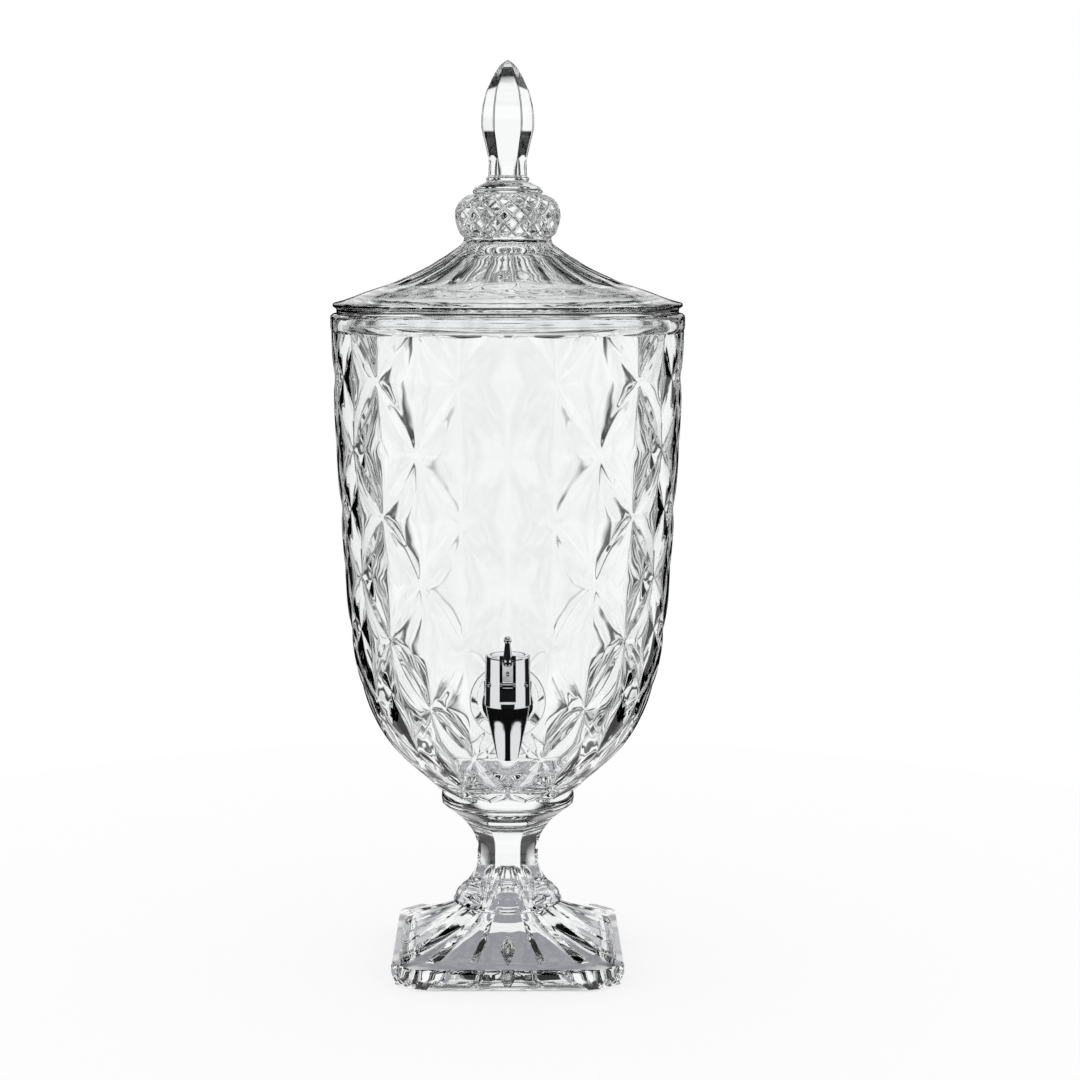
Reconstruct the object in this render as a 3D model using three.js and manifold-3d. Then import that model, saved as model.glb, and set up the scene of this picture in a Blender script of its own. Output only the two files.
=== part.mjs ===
// A footed glass beverage dispenser. The bowl has a diamond-cut wall and is fused to a pressed
// pedestal with a square fluted foot. A lid with a hobnail ball and a spear finial sits in its mouth.
// A chromed tap passes through a flat pad low in the wall: its lever lifts a spring-closed valve.
// Lengths are in millimetres. +Z is up and the tap faces -Y.

import * as THREE from 'three';
import { mergeVertices } from 'three/addons/utils/BufferGeometryUtils.js';
import Module from 'manifold-3d';

const wasm = await Module();
wasm.setup();

// Driving dimensions of the glass
const clearance = 0.3;
const overrun = 4;

const pedestalHeight = 102;
const collarRadius = 38.6;
const collarThickness = 7.4;
const seamRadius = 37.8;
const stemApothem = 18.5;
const stemFacets = 8;
const stemBoreRadius = 12;
const stemBoreHeight = 57;
const footWidth = 132;
const footChamfer = 12;
const footEdgeHeight = 13.3;
const footSlopeHeight = 21;
const footRimWidth = 8;
const footBottomBevel = 1.8;
const footTopBevel = 1;
const footShell = 6.5;
const footRayDepth = 1.6;
const footRayHalfWidth = THREE.MathUtils.degToRad(2.2);
const footRayBearings = [18, 36, 54, 72].map((degrees) => THREE.MathUtils.degToRad(degrees));
const footLeafLength = 26;
const footLeafWidth = 8;
const footLeafDepth = 0.9;
const ringRadius = 28.4;
const ringHeight = 9.5;
const ringLobe = 2.4;
const ringLobes = 8;

const bowlHeight = 276.5;
const bowlRadius = 100.4;
const bowlFloor = 9;
const diamondColumns = 12;
const hollowDepth = 1.2;
const rimBandHeight = 8.5;
const rimBandStep = 0.5;
const rimRound = 2.4;
const rimWall = 6.2;
const mouthRound = 0.9;
const padRadius = 20;
const padTaper = 2;
const padSetback = 9.6;
const padThickness = 11.8;
const nicheRadius = 16;

const lidInset = 0.8;
const lidLip = 1.6;
const lidLipStep = 2.2;
const lidSeatHeight = 2.4;
const lidRise = 40;
const lidNeckRadius = 24.7;
const lidShell = 6;
const skirtDepth = 7.8;
const skirtThickness = 5.2;
const skirtClearance = 1.5;
const fluteCount = 20;
const fluteDepth = 1.7;
const fluteReach = 70;
const lidTurn = THREE.MathUtils.degToRad(5);
const ballHeight = 25.2;
const ballRadius = 28.9;
const hobnailColumns = 20;
const hobnailDepth = 1.5;
const lidCollarHeight = 8.2;
const lidCollarRadius = 19.8;
const finialSeatRadius = 12;
const finialSeatRing = 2;
const finialHeight = 65.4;
const finialRadius = 15.4;
const finialNeckRadius = 10.9;
const finialFacets = 6;

// Driving dimensions of the tap
const tapHeight = 171;
const barrelTopRadius = 11.8;
const barrelBottomRadius = 12.3;
const barrelHeight = 27;
const barrelDrop = 3;
const barrelEdge = 0.6;
const tulipTopRadius = 11.2;
const tulipEndRadius = 5.5;
const tulipHeight = 29.7;
const valveBoreRadius = 7.2;
const seatDepth = 10;
const spoutBoreRadius = 3.8;
const shankRadius = 7.6;
const shankBoreRadius = 4.2;
const shankOverhang = 4;
const holeClearance = 1.1;
const neckRadius = 7;
const neckLength = 4;
const flangeRadius = 13.8;
const flangeThickness = 3;
const slotWidth = 8.6;
const slotFloorDepth = 3.4;
const outerWasherThickness = 2.5;
const outerWasherRadius = 13.2;
const innerWasherThickness = 3;
const innerWasherRadius = 13;
const plainWasherThickness = 1;
const plainWasherRadius = 12.4;
const nutThickness = 7;
const nutAcrossFlats = 24;
const nutFlats = 6;
const capRadius = 9.1;
const capThickness = 2.7;
const guideHeight = 4;
const guideClearance = 0.3;
const ringWire = 0.85;
const stemRodRadius = 2.4;
const stemBodyRadius = 4.4;
const stemWeb = 2.2;
const stubRadius = 1.8;
const stubHeight = 2.4;
const beadRadius = 3.4;
const beadHeight = 1.6;
const cupRadius = 5.8;
const cupHeight = 5.4;
const cupFloor = 1.4;
const springWire = 0.7;
const springRadius = 2.9;
const springTurns = 4;
const springTurnSteps = 11;
const leverArm = 7;
const leverSwing = THREE.MathUtils.degToRad(25);
const leverHubRadius = 2.3;
const leverWidth = 5.6;
const leverArmWidth = 4.4;
const leverNoseRadius = 1.5;
const leverPlateHeight = 11;
const leverPlateThickness = 3;
const leverHeight = 26;
const leverRootRadius = 2.5;
const leverTipRadius = 1.4;
const leverBallRadius = 2.15;
const pinRadius = 1.2;
const pinInset = 0.4;

// What follows from them
const rimBandRadius = bowlRadius + rimBandStep;
const mouthRadius = bowlRadius - rimWall;
const padReach = bowlRadius - padSetback;
const nicheReach = padReach - padThickness;
const lidRadius = bowlRadius - lidInset;
const lidSeatRadius = lidRadius - lidLipStep;

// Round forms: how many sides a full turn gets, by size
const bowlSides = 48;
const lidSides = 40;
const mediumSides = 24;
const smallSides = 16;

// Stands a closed geometry up as a solid that can be joined and cut.
function solidFrom(geometry) {
  const bare = geometry.clone();
  bare.deleteAttribute('normal');
  bare.deleteAttribute('uv');
  const merged = mergeVertices(bare);
  const triVerts = [];
  const corners = merged.index.array;
  for (let k = 0; k < corners.length; k += 3) {
    const [a, b, c] = corners.slice(k, k + 3);
    if (a !== b && b !== c && c !== a) triVerts.push(a, b, c);
  }
  const places = merged.attributes.position.array;
  const mesh = { numProp: 3, vertProperties: new Float32Array(places), triVerts: new Uint32Array(triVerts) };
  if (signedVolume(mesh) < 0) mesh.triVerts.reverse();
  return new wasm.Manifold(new wasm.Mesh(mesh));
}

// Six times the volume that the triangles enclose, negative when they face inwards.
function signedVolume({ vertProperties, triVerts }) {
  const corner = (k) => new THREE.Vector3().fromArray(vertProperties, triVerts[k] * 3);
  let sum = 0;
  for (let k = 0; k < triVerts.length; k += 3) {
    sum += corner(k).dot(corner(k + 1).cross(corner(k + 2)));
  }
  return sum;
}

// A named mesh from a solid.
function part(name, solid, material) {
  const { vertProperties, triVerts } = solid.getMesh();
  const geometry = new THREE.BufferGeometry();
  geometry.setAttribute('position', new THREE.BufferAttribute(vertProperties, 3));
  geometry.setIndex(new THREE.BufferAttribute(triVerts, 1));
  geometry.computeVertexNormals();
  const mesh = new THREE.Mesh(geometry, material);
  mesh.name = name;
  return mesh;
}

// A solid of revolution about Z from [radius, height] pairs that start and end on the axis.
function revolve(profile, sides) {
  const points = profile.map(([radius, height]) => new THREE.Vector2(radius, height));
  const geometry = new THREE.LatheGeometry(points, sides);
  geometry.rotateX(Math.PI / 2);
  return solidFrom(geometry);
}

// A ring of revolution about Z from [radius, height] pairs that stay off the axis.
function revolveRing(profile, sides) {
  return revolve([...profile, profile[0]], sides);
}

// A cylinder or cone along Z from height `from` to height `to`.
function bar(radius, from, to, sides, endRadius = radius) {
  return revolve([[0, from], [radius, from], [endRadius, to], [0, to]], sides);
}

// A solid turned from standing along Z to lying along +Y.
function alongY(solid) {
  return solid.rotate([-90, 0, 0]);
}

// A solid turned from standing along Z to lying along +X.
function alongX(solid) {
  return solid.rotate([0, 90, 0]);
}

// A box between two corners.
function block([x0, y0, z0], [x1, y1, z1]) {
  const geometry = new THREE.BoxGeometry(x1 - x0, y1 - y0, z1 - z0);
  geometry.translate((x0 + x1) / 2, (y0 + y1) / 2, (z0 + z1) / 2);
  return solidFrom(geometry);
}

// A point at a bearing that is measured from -Y towards +X.
function around(radius, bearing, height) {
  return [radius * Math.sin(bearing), -radius * Math.cos(bearing), height];
}

// A closed body through level rings of equally many points, lowest first. Each four-sided cell is
// split from its near corner to its far one, or across that where `crossed(i, j)` is true.
function ringBody(rings, crossed = () => false) {
  const count = rings[0].length;
  const places = rings.flat();
  const last = (rings.length - 1) * count;
  const triangles = [];
  for (let j = 0; j < rings.length - 1; j += 1) {
    for (let i = 0; i < count; i += 1) {
      const a = j * count + i;
      const b = j * count + (i + 1) % count;
      const c = b + count;
      const d = a + count;
      if (crossed(i, j)) triangles.push(a, b, d, b, c, d);
      else triangles.push(a, b, c, a, c, d);
    }
  }
  const centre = (ring) => [0, 0, ring.reduce((sum, point) => sum + point[2], 0) / count];
  const bottom = places.push(centre(rings[0])) - 1;
  const top = places.push(centre(rings[rings.length - 1])) - 1;
  for (let i = 0; i < count; i += 1) {
    const next = (i + 1) % count;
    triangles.push(bottom, next, i, top, last + i, last + next);
  }
  const geometry = new THREE.BufferGeometry();
  geometry.setAttribute('position', new THREE.Float32BufferAttribute(places.flat(), 3));
  geometry.setIndex(triangles);
  return solidFrom(geometry);
}

// A lattice of diamonds on a turned body. Columns and rows of half diamonds meet at its vertices,
// centres and nodes by turns, and `depth` is how far the centres lie below the nodes. Each half
// diamond is cut in two each way, so that it stays flat around the body and follows its outline.
function diamondBody(rows, columns, depth) {
  const line = new THREE.SplineCurve(rows.map(([radius, height]) => new THREE.Vector2(radius, height)));
  const halfColumns = columns * 4;
  const halfRows = (rows.length - 1) * 2;
  const rings = [];
  for (let j = 0; j <= halfRows; j += 1) {
    const place = line.getPoint(j / halfRows);
    const ring = [];
    for (let i = 0; i < halfColumns; i += 1) {
      const between = (i % 2) + (j % 2);
      const isCentre = (Math.floor(i / 2) + Math.floor(j / 2)) % 2 === 0;
      const centreShare = [Number(isCentre), 0.5, 0][between];
      const chordShare = i % 2 ? Math.cos(Math.PI / (columns * 2)) : 1;
      const radius = (place.x - depth * centreShare) * chordShare;
      ring.push(around(radius, i * Math.PI * 2 / halfColumns, place.y));
    }
    rings.push(ring);
  }
  const crossed = (i, j) => (Math.floor(i / 2) + Math.floor(j / 2)) % 2 === 0;
  return ringBody(rings, crossed);
}

// Materials
function clearGlass() {
  const options = { color: 0xeef3f2, roughness: 0.03, metalness: 0, transparent: true, opacity: 0.45 };
  return new THREE.MeshStandardMaterial(options);
}

function chromePlate() {
  return new THREE.MeshStandardMaterial({ color: 0xc9ccce, roughness: 0.06, metalness: 1 });
}

function steel() {
  return new THREE.MeshStandardMaterial({ color: 0xa9adb0, roughness: 0.3, metalness: 1 });
}

function silicone() {
  return new THREE.MeshStandardMaterial({ color: 0xe4e6e4, roughness: 0.55, metalness: 0 });
}

function rubber() {
  return new THREE.MeshStandardMaterial({ color: 0x1c1c1d, roughness: 0.7, metalness: 0 });
}

function nylon() {
  return new THREE.MeshStandardMaterial({ color: 0x2a2b2d, roughness: 0.4, metalness: 0 });
}

// Pedestal

// Distance from the foot's centre to its outline, a square with cut corners, at a bearing.
function squareReach(bearing, half, chamfer) {
  const across = Math.abs(Math.sin(bearing));
  const along = Math.abs(Math.cos(bearing));
  return Math.min(half / Math.max(across, along), (2 * half - chamfer) / (across + along));
}

// Bearings of the middle of each side, of the cut corners and of the three lines of each ray.
function footBearings(half, chamfer) {
  const corner = Math.atan2(half - chamfer, half);
  const bearings = [];
  for (let side = 0; side < 4; side += 1) {
    const start = side * Math.PI / 2;
    bearings.push({ bearing: start, ray: 0 });
    bearings.push({ bearing: start + corner, ray: 0 });
    bearings.push({ bearing: start + Math.PI / 2 - corner, ray: 0 });
    for (const ray of footRayBearings) {
      bearings.push({ bearing: start + ray - footRayHalfWidth, ray: 0 });
      bearings.push({ bearing: start + ray, ray: 1 });
      bearings.push({ bearing: start + ray + footRayHalfWidth, ray: 0 });
    }
  }
  return bearings.sort((one, other) => one.bearing - other.bearing);
}

const footSlopeTop = footEdgeHeight + footSlopeHeight;
const footInnerRadius = ringRadius - ringLobe;

// Height of the foot's upper surface at a share of the way from the ring to the edge.
function slopeHeight(share) {
  return footEdgeHeight + footSlopeHeight * (1 - share) ** 1.35;
}

// The foot: an upright edge with bevels, then a slope that turns from square to round, with rays
// cut into it.
function footBody() {
  const half = footWidth / 2;
  const bearings = footBearings(half, footChamfer);
  const level = (inset, height) => bearings.map(
    ({ bearing }) => around(squareReach(bearing, half - inset, footChamfer), bearing, height),
  );
  const lipBottom = footEdgeHeight * 0.6;
  const rings = [
    level(footBottomBevel, 0),
    level(footBottomBevel, footEdgeHeight * 0.18),
    level(0, lipBottom),
    level(0, footEdgeHeight - footTopBevel),
    level(footTopBevel, footEdgeHeight),
  ];
  const slopeShares = [[0.84, 0], [0.7, 0.7], [0.4, 1], [0.15, 0.8], [0, 0.6]];
  for (const [share, depthShare] of slopeShares) {
    rings.push(bearings.map(({ bearing, ray }) => {
      const outer = squareReach(bearing, half - footTopBevel, footChamfer);
      const radius = THREE.MathUtils.lerp(footInnerRadius, outer, share);
      return around(radius, bearing, slopeHeight(share) - ray * depthShare * footRayDepth);
    }));
  }
  return ringBody(rings);
}

// The hollow under the foot: a square recess that follows the slope and runs up into the stem.
function footHollow() {
  const half = footWidth / 2 - footRimWidth;
  const bearings = Array.from({ length: mediumSides }, (_, i) => i * Math.PI * 2 / mediumSides);
  const outline = (bearing) => squareReach(bearing, half, footChamfer);
  const rings = [-overrun, 0].map((height) => bearings.map(
    (bearing) => around(outline(bearing), bearing, height),
  ));
  for (const share of [0.86, 0.5, 0.2]) {
    rings.push(bearings.map((bearing) => {
      const radius = THREE.MathUtils.lerp(stemBoreRadius, outline(bearing), share);
      return around(radius, bearing, slopeHeight(share) - footShell);
    }));
  }
  for (const [radiusShare, heightShare] of [[1.04, 0.53], [1, 0.7], [0.86, 0.86], [0.5, 0.97]]) {
    rings.push(bearings.map((bearing) => (
      around(stemBoreRadius * radiusShare, bearing, stemBoreHeight * heightShare)
    )));
  }
  return ringBody(rings);
}

// One leaf-shaped cut, pointed at both ends, lying along -Y on the foot's slope.
function footLeaf() {
  const shape = new THREE.OctahedronGeometry(1);
  shape.scale(footLeafWidth / 2, footLeafLength / 2, footLeafDepth);
  const inner = ringRadius + ringLobe;
  const middle = inner + (footWidth / 2 - inner) * 0.5;
  const share = (middle - footInnerRadius) / (footWidth / 2 - footInnerRadius);
  const step = 0.05;
  const run = (footWidth / 2 - footInnerRadius) * step * 2;
  const slope = Math.atan2(slopeHeight(share - step) - slopeHeight(share + step), run);
  shape.rotateX(slope);
  shape.translate(0, -middle, slopeHeight(share));
  return solidFrom(shape);
}

// The ring between foot and stem: a bead that swells into lobes.
function lobedRing() {
  const stepsPerLobe = 6;
  const steps = ringLobes * stepsPerLobe;
  const sectionShares = [[0, 0.2], [0.25, 0.85], [0.5, 1], [0.8, 0.7], [1, 0]];
  const base = footSlopeTop - clearance * 4;
  const rings = sectionShares.map(([heightShare, swellShare]) => {
    const ring = [];
    for (let i = 0; i < steps; i += 1) {
      const along = (i % stepsPerLobe) / stepsPerLobe * 2;
      const lobe = Math.sqrt(Math.max(0, 1 - (along > 1 ? along - 2 : along) ** 2));
      const radius = footInnerRadius + swellShare * ringLobe * (1 + lobe);
      ring.push(around(radius, i * Math.PI * 2 / steps, base + heightShare * ringHeight));
    }
    return ring;
  });
  return ringBody(rings);
}

// The stem: flat facets that flare up into the collar and down into the ring.
function facetedStem() {
  const bottom = footSlopeTop;
  const flareShares = [
    [0, 1.72], [0.1, 1.42], [0.2, 1.18], [0.37, 1.01], [0.48, 1], [0.6, 1.04],
    [0.7, 1.17], [0.8, 1.45], [0.88, 1.85], [0.94, 2.15],
  ];
  const corner = Math.PI / stemFacets;
  const rings = flareShares.map(([heightShare, apothemShare]) => {
    const radius = stemApothem * apothemShare / Math.cos(corner);
    const height = bottom + heightShare * (pedestalHeight - bottom);
    return Array.from({ length: stemFacets }, (_, i) => around(radius, (2 * i + 1) * corner, height));
  });
  const underCollar = pedestalHeight - collarThickness;
  const flare = revolve([
    [0, bottom],
    [collarRadius, bottom],
    [collarRadius * 0.6, bottom + (underCollar - bottom) * 0.6],
    [collarRadius * 0.93, underCollar],
    [collarRadius * 0.93, pedestalHeight],
    [0, pedestalHeight],
  ], bowlSides);
  return ringBody(rings).intersect(flare);
}

// The collar disc at the top, whose flat face is the seam that the bowl is fused to.
function collarDisc() {
  const edge = collarRadius - seamRadius;
  return revolve([
    [0, pedestalHeight - collarThickness - edge],
    [collarRadius * 0.88, pedestalHeight - collarThickness - edge],
    [collarRadius - edge, pedestalHeight - collarThickness],
    [collarRadius, pedestalHeight - collarThickness * 0.7],
    [collarRadius, pedestalHeight - collarThickness * 0.35],
    [seamRadius, pedestalHeight],
    [0, pedestalHeight],
  ], bowlSides);
}

// The pedestal, pressed in one piece and hollow underneath, with a leaf cut on each side of the foot.
function pedestal() {
  let solid = footBody().add(lobedRing()).add(facetedStem()).add(collarDisc()).subtract(footHollow());
  for (let side = 0; side < 4; side += 1) solid = solid.subtract(footLeaf().rotate([0, 0, side * 90]));
  return part('pedestal', solid, clearGlass());
}

// Bowl

// Rows of the diamond lattice: shares of the way out from the seam and up to the rim.
const wallRowShares = [
  [0, 0], [0.16, 0.029], [0.53, 0.116], [0.743, 0.222], [0.856, 0.353],
  [0.894, 0.475], [0.936, 0.604], [0.965, 0.732], [0.992, 0.872], [1, 1],
];

// Rows of the inside of the bowl: shares of the mouth's radius and of the depth.
const hollowShares = [
  [0.28, 0.005], [0.46, 0.045], [0.62, 0.1], [0.745, 0.17], [0.83, 0.245], [0.885, 0.34],
  [0.925, 0.49], [0.96, 0.69],
];

// The inside of the bowl, from its floor to its mouth.
function bowlHollow() {
  const floor = pedestalHeight + bowlFloor;
  const rim = pedestalHeight + bowlHeight;
  const depth = bowlHeight - bowlFloor;
  const side = hollowShares.map(([radius, height]) => [mouthRadius * radius, floor + depth * height]);
  return revolve([
    [0, floor],
    ...side,
    [mouthRadius, rim - mouthRound],
    [mouthRadius + mouthRound, rim],
    [mouthRadius + mouthRound, rim + overrun],
    [0, rim + overrun],
  ], bowlSides);
}

// The plain band round the rim, rounded at its top.
function rimBand() {
  const rim = pedestalHeight + bowlHeight;
  const foot = rim - rimBandHeight;
  return revolve([
    [0, foot - rimRound],
    [bowlRadius - rimRound, foot - rimRound],
    [rimBandRadius - clearance, foot],
    [rimBandRadius, rim - rimRound],
    [rimBandRadius - rimRound * 0.3, rim - rimRound * 0.3],
    [rimBandRadius - rimRound, rim],
    [0, rim],
  ], bowlSides);
}

// The bowl: the diamond wall and the rim band, hollowed, with a flat pad and a round niche behind it
// for the tap's washers.
function bowl() {
  const rows = wallRowShares.map(([out, up]) => [
    THREE.MathUtils.lerp(seamRadius, bowlRadius, out), pedestalHeight + bowlHeight * up,
  ]);
  const pad = alongY(bar(padRadius, -padReach, -nicheReach, bowlSides, padRadius + padTaper));
  const niche = alongY(bar(nicheRadius, -nicheReach, -nicheReach / 2, bowlSides));
  const innerPad = alongY(bar(nicheRadius, -padReach, -nicheReach, bowlSides));
  const hole = alongY(bar(shankRadius + holeClearance, -padReach - overrun, -nicheReach / 2, mediumSides));
  const atTap = [0, 0, tapHeight];
  const solid = diamondBody(rows, diamondColumns, hollowDepth)
    .add(rimBand())
    .add(pad.translate(atTap))
    .subtract(bowlHollow())
    .add(innerPad.translate(atTap))
    .subtract(niche.translate(atTap))
    .subtract(hole.translate(atTap));
  return part('bowl', solid, clearGlass());
}

// Lid, drawn upwards from the face that rests on the rim

const lidLipHeight = lidSeatHeight + lidLip;
const neckTop = lidRise + lidSeatHeight;

// The cone from its lip to the neck: shares of the way in and of the way up, and how deep its
// flutes are there.
const coneShares = [
  [0.008, 0.024, 0], [0.17, 0.13, 0], [0.37, 0.28, 0], [0.43, 0.34, 0.35], [0.5, 0.405, 0.75],
  [0.64, 0.52, 1], [0.75, 0.65, 0.95], [0.86, 0.79, 0.8], [0.95, 0.91, 0.5], [1, 1, 0.2],
];

// Height of the cone's outside at a share of the way in from the lip.
function coneHeight(shareIn) {
  const next = coneShares.findIndex(([share]) => share >= shareIn);
  const [inner, upper] = coneShares[next];
  const [outer, lower] = coneShares[Math.max(0, next - 1)];
  const between = inner > outer ? (shareIn - outer) / (inner - outer) : 0;
  return lidLipHeight + (neckTop - lidLipHeight) * THREE.MathUtils.lerp(lower, upper, between);
}

// How much of its depth a flute has at a place across it, -1 to 1. Towards the lip it closes in a
// rounded end.
function fluteShare(across, radius) {
  const middle = fluteReach * 0.82;
  const past = Math.max(0, radius - middle) / (fluteReach - middle);
  return Math.max(0, 1 - across ** 2 - past ** 2);
}

// The cone: a lip over the seat, then flutes that run up to the neck.
function flutedCone() {
  const stepsPerFlute = 3;
  const steps = fluteCount * stepsPerFlute;
  const level = (radius, height) => Array.from(
    { length: steps },
    (_, i) => around(radius, i * Math.PI * 2 / steps, height),
  );
  const rings = [
    level(lidSeatRadius, 0),
    level(lidSeatRadius, lidSeatHeight),
    level(lidRadius, lidSeatHeight + lidLip * 0.7),
  ];
  for (const [shareIn, shareUp, depthShare] of coneShares) {
    const radius = THREE.MathUtils.lerp(lidRadius, lidNeckRadius, shareIn);
    const height = lidLipHeight + (neckTop - lidLipHeight) * shareUp;
    rings.push(Array.from({ length: steps }, (_, i) => {
      const across = (i % stepsPerFlute) / stepsPerFlute * 2 - 1;
      const cut = fluteDepth * depthShare * fluteShare(across, radius);
      const bearing = i * Math.PI * 2 / steps;
      return around(radius - cut * shareUp, bearing, height - cut * (1 - shareUp));
    }));
  }
  rings.push(level(lidNeckRadius, neckTop + overrun));
  return ringBody(rings);
}

const skirtRadius = mouthRadius - skirtClearance;

// The locating skirt that hangs inside the bowl's mouth.
function skirt() {
  const edge = skirtThickness * 0.3;
  return revolve([
    [0, -skirtDepth],
    [skirtRadius - edge, -skirtDepth],
    [skirtRadius, edge - skirtDepth],
    [skirtRadius, lidSeatHeight],
    [0, lidSeatHeight],
  ], lidSides);
}

// The hollow under the lid follows the cone one wall thickness inside it.
function lidHollow() {
  const inner = skirtRadius - skirtThickness;
  const wall = [0.24, 0.5, 0.64, 0.84].map((share) => {
    const radius = THREE.MathUtils.lerp(lidRadius, lidNeckRadius, share);
    return [radius - lidShell * share * 0.8, coneHeight(share) - lidShell * (1.15 - share * 0.4)];
  });
  const top = neckTop - lidShell;
  return revolve([
    [0, -skirtDepth - overrun],
    [inner, -skirtDepth - overrun],
    [inner, -skirtDepth],
    [inner - lidShell * 0.2, 0],
    ...wall,
    [lidNeckRadius * 0.5, top - lidShell * 0.4],
    [0, top],
  ], lidSides);
}

const ballBottom = neckTop;
const ballTop = ballBottom + ballHeight;

// The ball: a belt of small raised diamonds.
function hobnailBall() {
  const rowShares = [
    [0.87, 0], [0.955, 0.17], [0.99, 0.34], [0.995, 0.51], [0.95, 0.68], [0.83, 0.85], [0.7, 1],
  ];
  const rows = rowShares.map(([radius, height]) => [
    (ballRadius - hobnailDepth / 2) * radius, ballBottom + ballHeight * height,
  ]);
  const rings = rows.map(([radius, height], j) => Array.from({ length: hobnailColumns * 2 }, (_, i) => {
    const raised = (i + j) % 2 === 0 && j > 0 && j < rows.length - 1;
    return around(radius + (raised ? hobnailDepth : 0), i * Math.PI / hobnailColumns, height);
  }));
  return ringBody(rings, (i, j) => (i + j) % 2 === 0);
}

// The stepped collar that carries the finial.
function lidCollar() {
  const top = ballTop + lidCollarHeight;
  return revolve([
    [0, ballTop - overrun],
    [lidCollarRadius, ballTop - overrun],
    [lidCollarRadius, ballTop + lidCollarHeight * 0.18],
    [lidCollarRadius * 0.93, ballTop + lidCollarHeight * 0.26],
    [finialSeatRadius * 1.14, ballTop + lidCollarHeight * 0.6],
    [finialSeatRadius * 0.97, top - finialSeatRing],
    [finialSeatRadius, top - finialSeatRing * 0.5],
    [finialSeatRadius, top],
    [0, top],
  ], mediumSides);
}

// The lid, pressed in one piece from its skirt to the collar.
function lid() {
  const solid = flutedCone().add(skirt()).subtract(lidHollow()).add(hobnailBall()).add(lidCollar());
  return part('lid', solid, clearGlass());
}

// The finial: a spear with flat facets above a round neck.
function finial() {
  const profileShares = [
    [0.73, 0, 0], [0.7, 0.035, 0], [0.7, 0.15, 0], [0.76, 0.2, 0.5], [0.86, 0.28, 1],
    [0.97, 0.39, 1], [1, 0.48, 1], [0.97, 0.585, 1], [0.88, 0.69, 1], [0.71, 0.79, 1],
    [0.46, 0.89, 1], [0.18, 0.97, 1],
  ];
  const steps = finialFacets * 4;
  const facetTurn = Math.PI * 2 / finialFacets;
  const rings = profileShares.map(([radiusShare, heightShare, flatShare]) => {
    const radius = finialRadius * radiusShare;
    return Array.from({ length: steps }, (_, i) => {
      const bearing = i * Math.PI * 2 / steps;
      const off = ((bearing + facetTurn / 2) % facetTurn) - facetTurn / 2;
      const flat = radius * Math.cos(facetTurn / 2) / Math.cos(off);
      return around(THREE.MathUtils.lerp(radius, flat, flatShare), bearing, finialHeight * heightShare);
    });
  });
  const tip = Array.from({ length: steps }, (_, i) => around(
    finialRadius * 0.02, i * Math.PI * 2 / steps, finialHeight,
  ));
  return part('finial', ringBody([...rings, tip]), clearGlass());
}

// Tap, drawn about its upright axis with the shank's axis at height zero

const leverLift = leverArm * leverSwing;
const chamberTop = shankBoreRadius + clearance * 2;
const guideBottom = chamberTop + clearance;
const guideTop = guideBottom + guideHeight;
const slotBottom = guideTop + leverLift + clearance;
const pinHeight = slotBottom + leverHubRadius + clearance;
const barrelTop = barrelDrop + barrelHeight;
const capBottom = barrelTop - capThickness;
const windowTop = leverNoseRadius + clearance;
const windowBottom = -(leverNoseRadius + leverLift * 0.85);
const stemShoulder = pinHeight + windowTop + stemWeb;
const flangeFront = barrelBottomRadius + neckLength;
const flangeBack = flangeFront + flangeThickness;
const tapReach = padReach + clearance * 2 + outerWasherThickness + flangeBack;
const nutInnerReach = nicheReach - innerWasherThickness - plainWasherThickness - nutThickness - clearance * 3;
const shankEnd = tapReach - nutInnerReach + shankOverhang;

// The tulip-shaped spout below the barrel: shares of its end radius and of its height.
const tulipShares = [
  [0, 0], [1, 0], [1.04, 0.09], [1.2, 0.2], [1.43, 0.37], [1.62, 0.54], [1.8, 0.65], [1.98, 0.8],
  [tulipTopRadius / tulipEndRadius, 0.94], [tulipTopRadius / tulipEndRadius, 1],
];

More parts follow.
